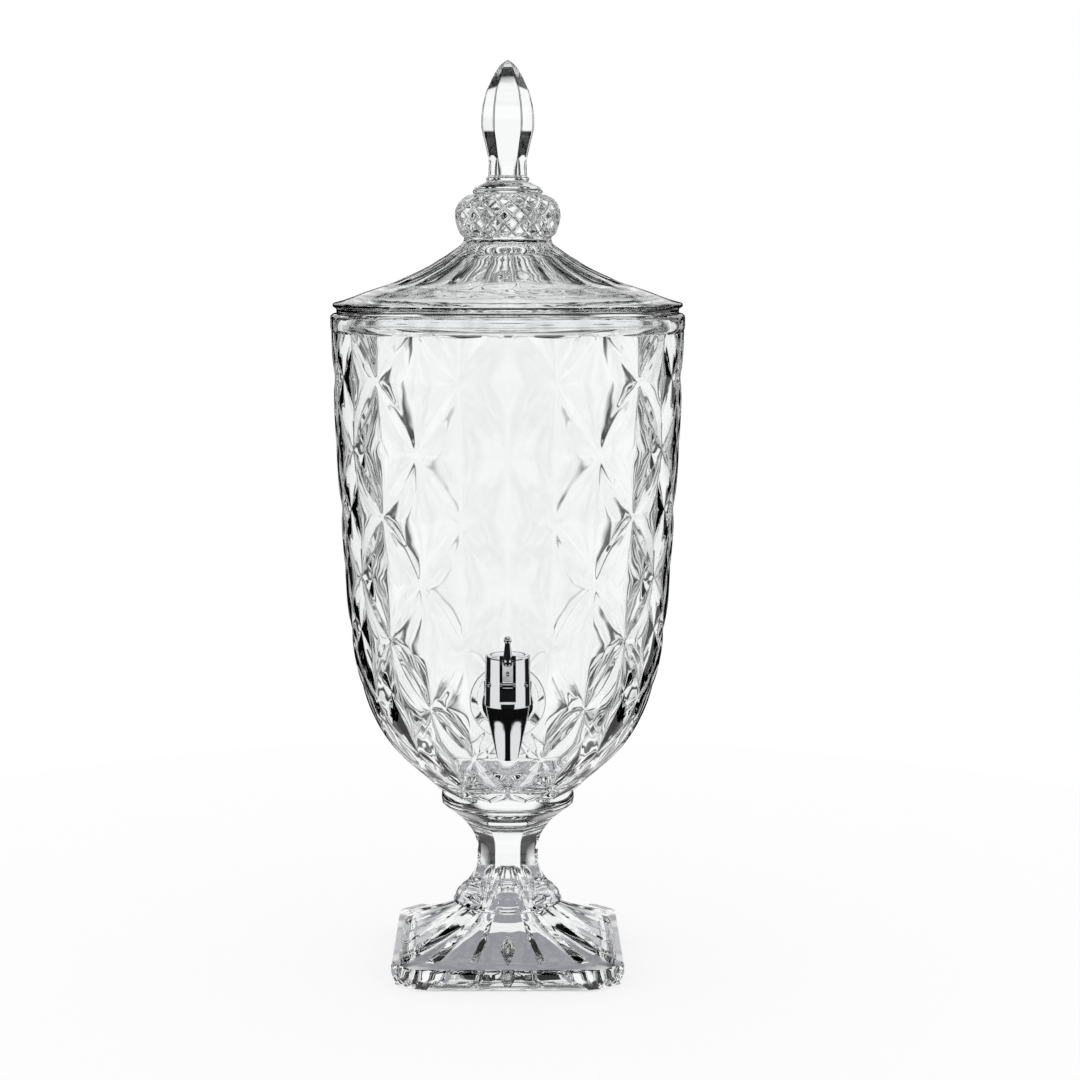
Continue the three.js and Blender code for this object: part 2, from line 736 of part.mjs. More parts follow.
// The tap's casting: barrel, spout, neck, flange and shank, bored for the valve and the drink and
// slotted for the lever.
function tapBody() {
  const spoutEnd = barrelDrop - tulipHeight;
  const tulip = tulipShares.map(([radius, height]) => [
    tulipEndRadius * radius, spoutEnd + tulipHeight * height,
  ]);
  const outer = revolve([
    ...tulip,
    [barrelBottomRadius, barrelDrop],
    [barrelBottomRadius, barrelDrop + barrelEdge],
    [barrelTopRadius, barrelTop - barrelEdge],
    [barrelTopRadius - barrelEdge, barrelTop],
    [0, barrelTop],
  ], mediumSides);
  const shank = alongY(bar(shankRadius, 0, shankEnd, mediumSides));
  const neck = alongY(bar(neckRadius, 0, flangeBack, mediumSides));
  const flangeEdge = flangeThickness * 0.25;
  const flange = alongY(revolve([
    [0, flangeFront],
    [flangeRadius - flangeEdge, flangeFront],
    [flangeRadius, flangeFront + flangeEdge],
    [flangeRadius, flangeBack],
    [0, flangeBack],
  ], mediumSides));
  const valveBore = bar(valveBoreRadius, -seatDepth, barrelTop + overrun, mediumSides);
  const spoutBore = bar(spoutBoreRadius, spoutEnd - overrun, -seatDepth + overrun, smallSides);
  const shankBore = alongY(bar(shankBoreRadius, 0, shankEnd + overrun, smallSides));
  const capSeat = bar(capRadius + clearance, capBottom - clearance, barrelTop + overrun, mediumSides);
  const half = slotWidth / 2;
  const slot = block([-half, -barrelBottomRadius - overrun, slotBottom], [half, 0, barrelTop + overrun]);
  const recessBottom = barrelDrop + clearance * 8;
  const slotFloor = slotFloorDepth - barrelBottomRadius;
  const recess = block([-half, -barrelBottomRadius - overrun, recessBottom], [half, slotFloor, barrelTop]);
  const pinHole = alongX(bar(pinRadius + clearance, -barrelBottomRadius, barrelBottomRadius, smallSides));
  const solid = outer.add(shank).add(neck).add(flange)
    .subtract(valveBore)
    .subtract(spoutBore)
    .subtract(shankBore)
    .subtract(capSeat)
    .subtract(slot)
    .subtract(recess)
    .subtract(pinHole.translate([0, -leverArm, pinHeight]));
  return part('tap_body', solid, chromePlate());
}

// The cap closes the barrel over the spring and is slotted for the lever.
function tapCap() {
  const spigot = bar(stubRadius, capBottom - stubHeight / 2, capBottom + clearance, smallSides);
  const disc = revolve([
    [0, capBottom],
    [capRadius, capBottom],
    [capRadius, barrelTop - barrelEdge / 2],
    [capRadius - barrelEdge / 2, barrelTop],
    [0, barrelTop],
  ], mediumSides);
  const half = slotWidth / 2;
  const slotFront = -capRadius - overrun;
  const slotBack = leverRootRadius + clearance - leverArm;
  const slot = block([-half, slotFront, capBottom - overrun], [half, slotBack, barrelTop + overrun]);
  return part('tap_cap', disc.add(spigot).subtract(slot), chromePlate());
}

// The valve stem: a rod with a bead for the cup, a sealed guide, and a body whose window the
// lever's nose reaches into.
function valveStem() {
  const guideRadius = valveBoreRadius - guideClearance;
  const beadBottom = cupFloor - seatDepth + clearance * 2;
  const grooveFloor = guideRadius - ringWire * 2 - clearance;
  const grooveHalf = ringWire + clearance;
  const grooveMiddle = guideBottom + guideHeight / 2;
  const turned = revolve([
    [0, beadBottom],
    [beadRadius, beadBottom],
    [beadRadius, beadBottom + beadHeight],
    [stemRodRadius, beadBottom + beadHeight],
    [stemRodRadius, guideBottom],
    [guideRadius, guideBottom],
    [guideRadius, grooveMiddle - grooveHalf],
    [grooveFloor, grooveMiddle - grooveHalf],
    [grooveFloor, grooveMiddle + grooveHalf],
    [guideRadius, grooveMiddle + grooveHalf],
    [guideRadius, guideTop],
    [stemBodyRadius, guideTop],
    [stemBodyRadius, stemShoulder],
    [stubRadius, stemShoulder],
    [stubRadius, stemShoulder + stubHeight],
    [0, stemShoulder + stubHeight],
  ], mediumSides);
  const half = leverArmWidth / 2 + clearance;
  const back = leverNoseRadius + clearance * 2;
  const opening = block(
    [-half, -stemBodyRadius - overrun, pinHeight + windowBottom],
    [half, back, pinHeight + windowTop],
  );
  return part('valve_stem', turned.subtract(opening), nylon());
}

// The silicone cup that closes the spout, pulled over the stem's bead.
function seatCup() {
  const bottom = clearance - seatDepth;
  const cavityBottom = cupFloor - seatDepth + clearance;
  const cavityTop = cavityBottom + beadHeight + clearance * 2;
  const top = bottom + cupHeight;
  return part('seat_cup', revolve([
    [0, bottom],
    [cupRadius * 0.9, bottom],
    [cupRadius, bottom + cupFloor * 0.5],
    [cupRadius * 0.82, top],
    [stemRodRadius + clearance, top],
    [stemRodRadius + clearance, cavityTop],
    [beadRadius + clearance, cavityTop],
    [beadRadius + clearance, cavityBottom],
    [0, cavityBottom],
  ], mediumSides), silicone());
}

// The O-ring in the guide's groove.
function stemSeal() {
  const middle = guideBottom + guideHeight / 2;
  const radius = valveBoreRadius - clearance - ringWire;
  const sides = 6;
  const section = Array.from({ length: sides }, (_, i) => {
    const turn = i * Math.PI * 2 / sides;
    return [radius + ringWire * Math.cos(turn), middle + ringWire * Math.sin(turn)];
  });
  return part('stem_seal', revolveRing(section, mediumSides), rubber());
}

// The return spring: a helix whose end turns close up flat.
function returnSpring() {
  const bottom = stemShoulder + clearance + springWire / 2;
  const top = capBottom - clearance - springWire / 2;
  class Coil extends THREE.Curve {
    getPoint(share, target = new THREE.Vector3()) {
      const closed = 1 / springTurns / 2;
      const climb = THREE.MathUtils.clamp((share - closed) / (1 - closed * 2), 0, 1);
      const bearing = share * springTurns * Math.PI * 2;
      return target.set(...around(springRadius, bearing, bottom + (top - bottom) * climb));
    }
  }
  const sides = 5;
  const wire = new THREE.Shape(Array.from({ length: sides }, (_, i) => {
    const turn = i * Math.PI * 2 / sides;
    return new THREE.Vector2(springWire / 2 * Math.cos(turn), springWire / 2 * Math.sin(turn));
  }));
  const steps = springTurns * springTurnSteps;
  const geometry = new THREE.ExtrudeGeometry(wire, { steps, extrudePath: new Coil() });
  return part('return_spring', solidFrom(geometry), steel());
}

// The lever, drawn about its pin: a hub, a nose that lifts the stem, and a handle with a ball.
function tapLever() {
  const hub = alongX(bar(leverHubRadius, -leverWidth / 2, leverWidth / 2, smallSides));
  const nose = alongX(bar(leverNoseRadius, -leverArmWidth / 2, leverArmWidth / 2, smallSides));
  const armHalf = leverNoseRadius * 0.8;
  const arm = block([-leverArmWidth / 2, 0, -armHalf], [leverArmWidth / 2, leverArm, armHalf]);
  const plateHalf = leverPlateThickness / 2;
  const plate = block([-leverWidth / 2, -plateHalf, 0], [leverWidth / 2, plateHalf, leverPlateHeight]);
  const ballHeightAbovePin = leverHeight - leverBallRadius;
  const rootBottom = leverPlateHeight - leverRootRadius;
  const handle = revolve([
    [0, rootBottom - leverRootRadius * 0.6],
    [leverRootRadius * 0.7, rootBottom - leverRootRadius * 0.3],
    [leverRootRadius, rootBottom + leverRootRadius * 0.4],
    [leverRootRadius * 0.96, leverPlateHeight + leverRootRadius],
    [leverTipRadius, ballHeightAbovePin - leverBallRadius * 0.6],
    [leverTipRadius, ballHeightAbovePin],
    [0, ballHeightAbovePin],
  ], smallSides);
  const ball = new THREE.SphereGeometry(leverBallRadius, smallSides, smallSides / 2);
  ball.rotateX(Math.PI / 2);
  ball.translate(0, 0, ballHeightAbovePin);
  const pinHole = alongX(bar(pinRadius + clearance, -leverWidth, leverWidth, smallSides));
  const solid = hub.add(nose.translate([0, leverArm, 0])).add(arm).add(plate).add(handle)
    .add(solidFrom(ball)).subtract(pinHole);
  return part('tap_lever', solid, chromePlate());
}

// The steel pin that the lever turns on, held in the barrel's cheeks.
function leverPin() {
  const halfLength = Math.sqrt(barrelTopRadius ** 2 - (leverArm + pinRadius) ** 2) - pinInset;
  const pin = alongX(bar(pinRadius, -halfLength, halfLength, smallSides));
  return part('lever_pin', pin, steel());
}

// A flat washer or seal round the shank, its middle line along +Y from `from` to `to`.
function shankRing(name, radius, from, to, material) {
  const bore = shankRadius + clearance;
  const ring = alongY(revolveRing([[bore, from], [radius, from], [radius, to], [bore, to]], mediumSides));
  return part(name, ring, material);
}

// Pieces on the shank, from the flange inwards through the wall
function tapFastening() {
  const outerFrom = flangeBack + clearance;
  const outerTo = outerFrom + outerWasherThickness;
  const innerFrom = tapReach - nicheReach + clearance;
  const innerTo = innerFrom + innerWasherThickness;
  const plainFrom = innerTo + clearance;
  const plainTo = plainFrom + plainWasherThickness;
  const nutFrom = plainTo + clearance;
  const nutTo = nutFrom + nutThickness;
  const corner = nutAcrossFlats / 2 / Math.cos(Math.PI / nutFlats);
  const edge = nutThickness * 0.12;
  const rounded = alongY(revolve([
    [0, nutFrom],
    [corner, nutFrom],
    [corner, nutTo - edge * 2],
    [corner - edge, nutTo - edge],
    [corner - edge * 3, nutTo],
    [0, nutTo],
  ], smallSides));
  const bore = alongY(bar(shankRadius + clearance, nutFrom - overrun, nutTo + overrun, mediumSides));
  const nut = alongY(bar(corner, nutFrom, nutTo, nutFlats)).intersect(rounded).subtract(bore);
  return [
    shankRing('outer_washer', outerWasherRadius, outerFrom, outerTo, silicone()),
    shankRing('inner_washer', innerWasherRadius, innerFrom, innerTo, silicone()),
    shankRing('plain_washer', plainWasherRadius, plainFrom, plainTo, steel()),
    part('lock_nut', nut, nylon()),
  ];
}

// Assembly: the bowl's axis is set back so that the whole stands centred over the origin

// The lid is turned a little in its seat, and the finial on it is turned back to face the tap.
const lidGroup = new THREE.Group();
lidGroup.position.z = pedestalHeight + bowlHeight + clearance;
lidGroup.rotation.z = lidTurn;
const finialMesh = finial();
finialMesh.position.z = ballTop + lidCollarHeight;
finialMesh.rotation.z = -lidTurn;
lidGroup.add(lid(), finialMesh);

const tapGroup = new THREE.Group();
tapGroup.position.set(0, -tapReach, tapHeight);
const lever = tapLever();
lever.position.set(0, -leverArm, pinHeight);
const pin = leverPin();
pin.position.copy(lever.position);
tapGroup.add(tapBody(), tapCap(), valveStem(), seatCup(), stemSeal(), returnSpring(), lever, pin);
tapGroup.add(...tapFastening());

const dispenser = new THREE.Group();
dispenser.position.y = (tapReach + barrelBottomRadius - rimBandRadius) / 2;
dispenser.add(pedestal(), bowl(), lidGroup, tapGroup);

export default dispenser;
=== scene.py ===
"""Looks of a footed glass drink dispenser: pressed glass, a chromed lever tap and its fastening.

Sizes are millimetres. Heights run up from the table, and bearings are degrees round an upright axis
from the tap's side (-Y) towards +X. Every form is a grid of points: rings from the bottom up, each
running once round its axis. A profile is [radius, height] pairs, from the bottom up.
"""

import bpy
import numpy as np
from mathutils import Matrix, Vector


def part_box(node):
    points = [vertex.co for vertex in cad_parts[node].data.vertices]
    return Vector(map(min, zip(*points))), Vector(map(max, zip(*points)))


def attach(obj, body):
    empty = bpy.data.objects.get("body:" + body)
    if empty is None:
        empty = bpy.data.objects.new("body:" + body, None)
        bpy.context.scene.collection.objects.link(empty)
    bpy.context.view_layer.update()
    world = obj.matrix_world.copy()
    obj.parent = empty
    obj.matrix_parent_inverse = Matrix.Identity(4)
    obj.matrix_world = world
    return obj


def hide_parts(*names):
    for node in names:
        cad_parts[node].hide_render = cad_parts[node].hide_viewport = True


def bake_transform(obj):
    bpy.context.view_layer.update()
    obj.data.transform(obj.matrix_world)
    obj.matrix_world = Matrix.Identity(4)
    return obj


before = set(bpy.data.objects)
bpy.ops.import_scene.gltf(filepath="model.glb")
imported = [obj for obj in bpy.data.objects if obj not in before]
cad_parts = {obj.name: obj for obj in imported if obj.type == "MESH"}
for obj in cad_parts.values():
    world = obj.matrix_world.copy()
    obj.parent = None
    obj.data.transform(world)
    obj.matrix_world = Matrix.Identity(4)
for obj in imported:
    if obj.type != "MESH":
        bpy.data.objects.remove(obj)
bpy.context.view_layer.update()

MM = 0.001


def middle(node, axis):
    """The middle of a CAD node's box along one axis."""
    low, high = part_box(node)
    return (low[axis] + high[axis]) / 2 / MM


BOWL_AXIS = middle("pedestal", 1)
ON_BOWL_AXIS = (0, BOWL_AXIS, 0)
TAP_AXIS = middle("tap_cap", 1)
SHANK_HEIGHT = middle("outer_washer", 2)
PIN_AXIS = middle("lever_pin", 1)
PIN_HEIGHT = middle("lever_pin", 2)


# Forms


def around(radius, bearing, height):
    """Points at x = r sin b, y = -r cos b, z = h, for radii, bearings and heights of any matching
    shapes."""
    turn = np.radians(bearing)
    corners = np.broadcast_arrays(radius * np.sin(turn), -radius * np.cos(turn), height)
    return np.stack(corners, axis=-1).astype(float)


def bearings(count):
    """The bearings of evenly spaced columns."""
    return np.arange(count) * 360 / count


def curve_through(points, steps):
    """A smooth curve through points: between two of them it is the cubic whose slope at each is half
    the step from its neighbour before to its neighbour after."""
    points = np.asarray(points, float)
    padded = np.vstack([2 * points[0] - points[1], points, 2 * points[-1] - points[-2]])
    before, start, end, after = (padded[k : len(points) - 1 + k, None, :] for k in range(4))
    slope = (end - before) / 2
    bend = before - 2.5 * start + 2 * end - after / 2
    twist = (after - before) / 2 + 1.5 * (start - end)
    share = np.linspace(0, 1, steps, endpoint=False)[None, :, None]
    spans = start + share * (slope + share * (bend + share * twist))
    return np.vstack([spans.reshape(-1, points.shape[1]), points[-1]])


def turned(profile, sides):
    """A turned form: a profile carried once round the upright axis."""
    radius, height = np.asarray(profile, float).T
    return around(radius[:, None], bearings(sides), height[:, None])


def bar(radius, start, end, sides):
    """A straight round bar from one height to another."""
    return turned([(radius, start), (radius, end)], sides)


def box(low, high):
    """A box between two corners, as two rings of four points."""
    (x0, y0, z0), (x1, y1, z1) = low, high
    ring = np.array([(x0, y0), (x1, y0), (x1, y1), (x0, y1)], float)
    return np.stack([np.column_stack([ring, np.full(4, z)]) for z in (z0, z1)])


def along_y(grid):
    """A form that stands up, laid down so that its top points along +Y: (x, y, z) -> (x, z, -y)."""
    return np.stack([grid[..., 0], grid[..., 2], -grid[..., 1]], axis=-1)


def along_x(grid):
    """A form that stands up, laid down so that its top points along +X: (x, y, z) -> (z, y, -x)."""
    return np.stack([grid[..., 2], grid[..., 1], -grid[..., 0]], axis=-1)


def lattice(rows, columns, steps):
    """Square cells of some steps a side, laid over a grid. Gives each point's shares across and up
    its cell, from 0 to 1, and whether the cell is an even one, as on a chessboard."""
    across = np.arange(columns)[None, :] / steps
    upward = np.arange(rows)[:, None] / steps
    even = (np.floor(across) + np.floor(upward)) % 2 == 0
    return across % 1, upward % 1, even


def body(name, grid, at=(0, 0, 0), crossed=None):
    """A closed mesh object from a grid of rings. Each cell is one four-sided face, or two triangles
    split along the diagonal that crossed[row, column] picks. A fan closes each end."""
    rows, columns = grid.shape[:2]
    index = np.arange(rows * columns).reshape(rows, columns)
    # The corners of each cell: a and b below, d and c above them
    a, d = index[:-1], index[1:]
    b, c = np.roll(a, -1, axis=1), np.roll(d, -1, axis=1)
    if crossed is None:
        sides = np.stack([a, b, c, d], axis=-1).reshape(-1, 4)
    else:
        pick = crossed[..., None]
        one = np.where(pick, np.stack([a, b, d], -1), np.stack([a, b, c], -1))
        two = np.where(pick, np.stack([b, c, d], -1), np.stack([a, c, d], -1))
        sides = np.concatenate([one, two]).reshape(-1, 3)
    first, last = index[0], index[-1]
    low_middle = np.full(columns, rows * columns)
    low = np.stack([low_middle, np.roll(first, -1), first], axis=-1)
    top = np.stack([low_middle + 1, last, np.roll(last, -1)], axis=-1)
    faces = sides.tolist() + low.tolist() + top.tolist()
    points = np.vstack([grid.reshape(-1, 3), grid[0].mean(0), grid[-1].mean(0)])
    points = (points + np.asarray(at, float)) * MM
    mesh = bpy.data.meshes.new(name)
    mesh.from_pydata(points.tolist(), [], faces)
    piece = bpy.data.objects.new(name, mesh)
    bpy.context.scene.collection.objects.link(piece)
    return piece


def combine(name, base, added=(), cut=(), filled=(), within=()):
    """One closed mesh: what of the base is within a body, joined with the added bodies, less the cut
    ones, then joined with the filled ones."""
    steps = [("INTERSECT", tool) for tool in within]
    steps += [("UNION", tool) for tool in added]
    steps += [("DIFFERENCE", tool) for tool in cut]
    steps += [("UNION", tool) for tool in filled]
    for operation, tool in steps:
        boolean = base.modifiers.new(operation, "BOOLEAN")
        boolean.operation = operation
        boolean.solver = "MANIFOLD"
        boolean.object = tool
    solid = base.evaluated_get(bpy.context.evaluated_depsgraph_get())
    mesh = bpy.data.meshes.new_from_object(solid)
    for used in [base, *[tool for _, tool in steps]]:
        bpy.data.objects.remove(used)
    mesh.name = name
    piece = bpy.data.objects.new(name, mesh)
    bpy.context.scene.collection.objects.link(piece)
    return piece


def dress(piece, material, rides, stands_for, crease=35):
    """Gives a finished piece its material, smooth shading with creases past an angle in degrees and the
    body that it rides on if there is one, and hides the CAD nodes that it stands for."""
    piece.data.materials.clear()
    piece.data.materials.append(material)
    piece.data.shade_smooth()
    piece.data.set_sharp_from_angle(angle=np.radians(crease))
    if rides:
        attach(piece, rides)
    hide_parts(*stands_for)
    return piece


# Materials


def linear(code):
    """A linear colour from an sRGB hex code such as #a0b0c0."""
    srgb = np.array([int(code[k : k + 2], 16) / 255 for k in (1, 3, 5)])
    values = np.where(srgb <= 0.04045, srgb / 12.92, ((srgb + 0.055) / 1.055) ** 2.4)
    return (*values.tolist(), 1.0)


def add(tree, kind, settings=None, **links):
    """Adds a node, sets its attributes and sockets, and links the outputs that are given to its
    inputs. A name in settings that isn't an attribute is an input, and stops are the places and greys
    of a colour ramp. In a link's name _6 is input number 6, and another _ is a space."""
    node = tree.nodes.new(kind)
    for name, value in (settings or {}).items():
        if name == "stops":
            marks = node.color_ramp.elements
            for _ in value[2:]:
                marks.new(0.5)
            for mark, (place, grey) in zip(marks, value):
                mark.position = place
                mark.color = (grey, grey, grey, 1)
        elif isinstance(name, str) and hasattr(node, name):
            setattr(node, name, value)
        else:
            node.inputs[name].default_value = value
    for name, output in links.items():
        place = int(name[1:]) if name[0] == "_" else name.replace("_", " ")
        tree.links.new(output, node.inputs[place])
    return node


# Settings of a Mix node between two colours, which are its inputs 6 and 7, and its result output 2
COLOURS = {"data_type": "RGBA"}


def empty_tree(owner):
    """The node tree of a new material or world, with nothing in it."""
    owner.use_nodes = True
    owner.node_tree.nodes.clear()
    return owner.node_tree


def finish_of(name, settings):
    """A new material with one Principled shader. Gives the material, its tree and the shader."""
    material = bpy.data.materials.new(name)
    tree = empty_tree(material)
    shader = add(tree, "ShaderNodeBsdfPrincipled", settings)
    add(tree, "ShaderNodeOutputMaterial", Surface=shader.outputs[0])
    return material, tree, shader


def pressed_glass():
    """Clear soda-lime glass, pressed in a mould and fire-polished. The flame leaves a bright skin with
    slow waves, 60 to the metre, which bend what shows through it."""
    material, tree, shader = finish_of(
        "pressed_soda_lime_glass",
        {"Base Color": linear("#fcfdfd"), "Roughness": 0.01, "IOR": 1.5, "Transmission Weight": 1.0},
    )
    place = add(tree, "ShaderNodeTexCoord").outputs["Object"]
    waves = add(tree, "ShaderNodeTexNoise", {"Scale": 60.0, "Detail": 1.0}, Vector=place)
    bump = add(tree, "ShaderNodeBump", {"Strength": 0.15, "Distance": 2 * MM}, Height=waves.outputs[0])
    tree.links.new(bump.outputs[0], shader.inputs["Normal"])
    return material


def chrome_plate():
    """Chrome plate on polished brass. The hand polishing leaves waves 6 mm long, which bend straight
    reflections a little, and the wiping leaves 12 mm smears that take the edge off them."""
    material, tree, shader = finish_of(
        "bright_chrome_plate", {"Base Color": linear("#e3e5e7"), "Metallic": 1.0}
    )
    place = add(tree, "ShaderNodeTexCoord").outputs["Object"]
    waves = add(tree, "ShaderNodeTexNoise", {"Scale": 1 / (6 * MM), "Detail": 1.0}, Vector=place)
    bump = add(tree, "ShaderNodeBump", {"Strength": 0.04, "Distance": 0.4 * MM}, Height=waves.outputs[0])
    smears = add(tree, "ShaderNodeTexNoise", {"Scale": 1 / (12 * MM), "Detail": 4.0}, Vector=place)
    rough = add(tree, "ShaderNodeMapRange", {"To Min": 0.02, "To Max": 0.09}, Value=smears.outputs[0])
    tree.links.new(bump.outputs[0], shader.inputs["Normal"])
    tree.links.new(rough.outputs[0], shader.inputs["Roughness"])
    return material


def drawn_steel():
    """Stainless steel wire and sheet as it leaves the die: fine lines 0.3 mm apart, drawn out ten
    times along the height, which blur the highlights."""
    material, tree, shader = finish_of(
        "drawn_stainless_steel", {"Base Color": linear("#c4c6c8"), "Metallic": 1.0}
    )
    place = add(tree, "ShaderNodeTexCoord").outputs["Object"]
    lines = add(tree, "ShaderNodeMapping", {"Scale": (1.0, 1.0, 0.1)}, Vector=place)
    pattern = {"Scale": 1 / (0.3 * MM), "Detail": 3.0}
    grain = add(tree, "ShaderNodeTexNoise", pattern, Vector=lines.outputs[0])
    rough = add(tree, "ShaderNodeMapRange", {"To Min": 0.18, "To Max": 0.42}, Value=grain.outputs[0])
    bump = add(tree, "ShaderNodeBump", {"Strength": 0.15, "Distance": 0.02 * MM}, Height=grain.outputs[0])
    tree.links.new(rough.outputs[0], shader.inputs["Roughness"])
    tree.links.new(bump.outputs[0], shader.inputs["Normal"])
    return material


def moulded(name, pale, dark, grain_size, roughness, depth, through=0.0):
    """A moulded plastic or rubber: the mould's grain as a bump, and a slow shift between two close
    colours, 8 mm across, where the skin is cleaner or duller."""
    material, tree, shader = finish_of(name, {"Subsurface Weight": through, "Subsurface Scale": 2 * MM})
    place = add(tree, "ShaderNodeTexCoord").outputs["Object"]
    clouds = add(tree, "ShaderNodeTexNoise", {"Scale": 1 / (8 * MM), "Detail": 3.0}, Vector=place)
    shade = add(
        tree, "ShaderNodeMix", COLOURS | {6: linear(pale), 7: linear(dark)}, _0=clouds.outputs[0]
    )
    spread = {"To Min": roughness - 0.08, "To Max": roughness + 0.1}
    rough = add(tree, "ShaderNodeMapRange", spread, Value=clouds.outputs[0])
    pattern = {"Scale": 1 / (grain_size * MM), "Detail": 2.0}
    grain = add(tree, "ShaderNodeTexNoise", pattern, Vector=place)
    bump = add(tree, "ShaderNodeBump", {"Strength": 0.3, "Distance": depth * MM}, Height=grain.outputs[0])
    tree.links.new(shade.outputs[2], shader.inputs["Base Color"])
    tree.links.new(rough.outputs[0], shader.inputs["Roughness"])
    tree.links.new(bump.outputs[0], shader.inputs["Normal"])
    return material


GLASS = pressed_glass()
CHROME = chrome_plate()
STEEL = drawn_steel()
# Milky silicone lets a little light through and shines softly; its skin has a fine 0.4 mm grain
SILICONE = moulded(
    "moulded_silicone", "#e6e8e6", "#d3d6d3", grain_size=0.4, roughness=0.45, depth=0.03, through=0.4
)
# Nitrile rubber is a dull black with a bloom that greys it in patches, and a 0.3 mm grain
RUBBER = moulded("nitrile_rubber", "#161617", "#2b2b2c", grain_size=0.3, roughness=0.6, depth=0.03)
# Moulded nylon is a satin black with the 0.5 mm texture of its mould
NYLON = moulded("moulded_nylon", "#1d1e20", "#2c2e31", grain_size=0.5, roughness=0.4, depth=0.04)


# Pedestal

FOOT_HALF = 66.0
FOOT_CHAMFER = 12.0
FOOT_EDGE = 13.3
SLOPE_RISE = 21.0
RING_RADIUS = 26.0
COLLAR_RADIUS = 38.6


def square_reach(bearing, half):
    """Distance from the centre to a square with cut corners, at a bearing."""
    across = np.abs(np.sin(np.radians(bearing)))
    along = np.abs(np.cos(np.radians(bearing)))
    return np.minimum(half / np.maximum(across, along), (2 * half - FOOT_CHAMFER) / (across + along))


def slope_height(share):
    """Height of the foot's slope where share runs from 0 at the ring to 1 at the edge. It rises above
    the edge as (1 - share) to the power 1.35."""
    return FOOT_EDGE + SLOPE_RISE * (1 - share) ** 1.35


def foot():
    """The foot: rings follow a square with cut corners up the edge, then turn into a circle up a
    concave slope. Rays are V-shaped cuts, four to a quarter, deepest halfway up the slope."""
    half_ray, ray_depth = 2.3, 3.6
    quarters = np.arange(4)[:, None] * 90
    rays = (quarters + [18, 36, 54, 72]).reshape(-1, 1)
    corner = np.degrees(np.arctan2(FOOT_HALF - FOOT_CHAMFER, FOOT_HALF))
    columns = np.concatenate([
        (rays + [-half_ray, -1.2, 0, 1.2, half_ray]).ravel(),
        (quarters + [corner, 90 - corner]).ravel(),
        np.arange(0, 360, 2.5),
    ])
    columns = np.unique(np.round(columns, 3))
    off_ray = np.abs(columns - rays).min(0)
    # No column stands so close to a ray's edge that the faces between them are slivers
    kept = (off_ray < half_ray + 0.01) | (off_ray > half_ray + 0.6)
    columns, off_ray = columns[kept], off_ray[kept]
    cut = np.clip(1 - off_ray / half_ray, 0, 1)
    edge = [(2.6, 0), (1.8, 0.5), (1.8, 2.4), (0.0, 7.6), (0.0, 12.4), (0.35, 13.1), (1.0, FOOT_EDGE)]
    rows = [around(square_reach(columns, FOOT_HALF - inset), columns, height) for inset, height in edge]
    outer = square_reach(columns, FOOT_HALF - 1)
    for share in np.concatenate([np.linspace(0.97, 0.9, 3), np.linspace(0.86, 0.0, 22)]):
        deep = ray_depth * np.interp(share, [0, 0.1, 0.5, 0.8, 0.87], [0.7, 0.8, 1, 0.75, 0])
        radius = RING_RADIUS + (outer - RING_RADIUS) * share
        rows.append(around(radius, columns, slope_height(share) - deep * cut))
    return body("foot", np.stack(rows), ON_BOWL_AXIS)


def foot_hollow():
    """The hollow under the foot: a square recess that follows the slope and runs up into the stem."""
    rim, throat, thick = 6.0, 12.0, 8.0
    columns = bearings(96)
    outline = square_reach(columns, FOOT_HALF - rim)
    rows = [around(outline, columns, height) for height in (-4, 0)]
    for share in np.linspace(0.84, 0.1, 12):
        rows.append(around(throat + (outline - throat) * share, columns, slope_height(share) - thick))
    up_the_stem = curve_through([(12.6, 30), (12.2, 40), (10.5, 49), (6, 55.3), (2.5, 56.8)], 4)
    rows += [around(radius, columns, height) for radius, height in up_the_stem]
    return body("foot_hollow", np.stack(rows), ON_BOWL_AXIS)


def foot_leaf(side):
    """A leaf-shaped cut on the slope of one side, pointed at both ends. Along it a runs from -1 to 1,
    and its half width is as 1 - |a| to the power 1.7 and its depth as 1.25 - a squared. The section
    has two grooves with a ridge between them, and reaches up out of the slope."""
    half_length, half_width, deep = 13.5, 4.2, 1.1
    lean, from_axis = np.radians(-23), 49.5
    along = np.linspace(-1, 1, 17)[:, None]
    across, up = np.array([(-1, 0), (-0.5, -0.75), (0, -0.35), (0.5, -0.75), (1, 0), (0, 1.2)]).T
    x = half_width * (1 - np.abs(along) ** 1.7) * across
    y = np.broadcast_to(along * half_length, x.shape)
    z = deep * (0.25 + (1 - along**2)) * up
    share = (from_axis - RING_RADIUS) / (FOOT_HALF - 1 - RING_RADIUS)
    reach = from_axis + (y * np.cos(lean) - z * np.sin(lean))
    height = slope_height(share) + (y * np.sin(lean) + z * np.cos(lean))
    turn = np.radians(side * 90)
    out = np.stack([
        x * np.cos(turn) + reach * np.sin(turn),
        x * np.sin(turn) - reach * np.cos(turn),
        height,
    ], axis=-1)
    return body("foot_leaf", out[:, ::-1], ON_BOWL_AXIS)


def lobed_ring():
    """The ring over the foot: a bead that swells into eight round lobes, each half a circle across
    its 45 degrees."""
    bead, lobe_reach = 2.4, 2.4
    columns = bearings(192)
    lobe = np.sqrt(np.clip(1 - (((columns + 22.5) % 45) / 22.5 - 1) ** 2, 0, 1))
    profile = curve_through([
        (0.1, 33.2), (0.55, 34.0), (0.9, 36.0), (1.0, 38.2), (0.8, 40.6), (0.35, 42.3), (0.0, 42.8),
    ], 4)
    rows = [
        around(RING_RADIUS + swell * (bead + lobe_reach * lobe), columns, height)
        for swell, height in profile
    ]
    return body("lobed_ring", np.stack(rows), ON_BOWL_AXIS)


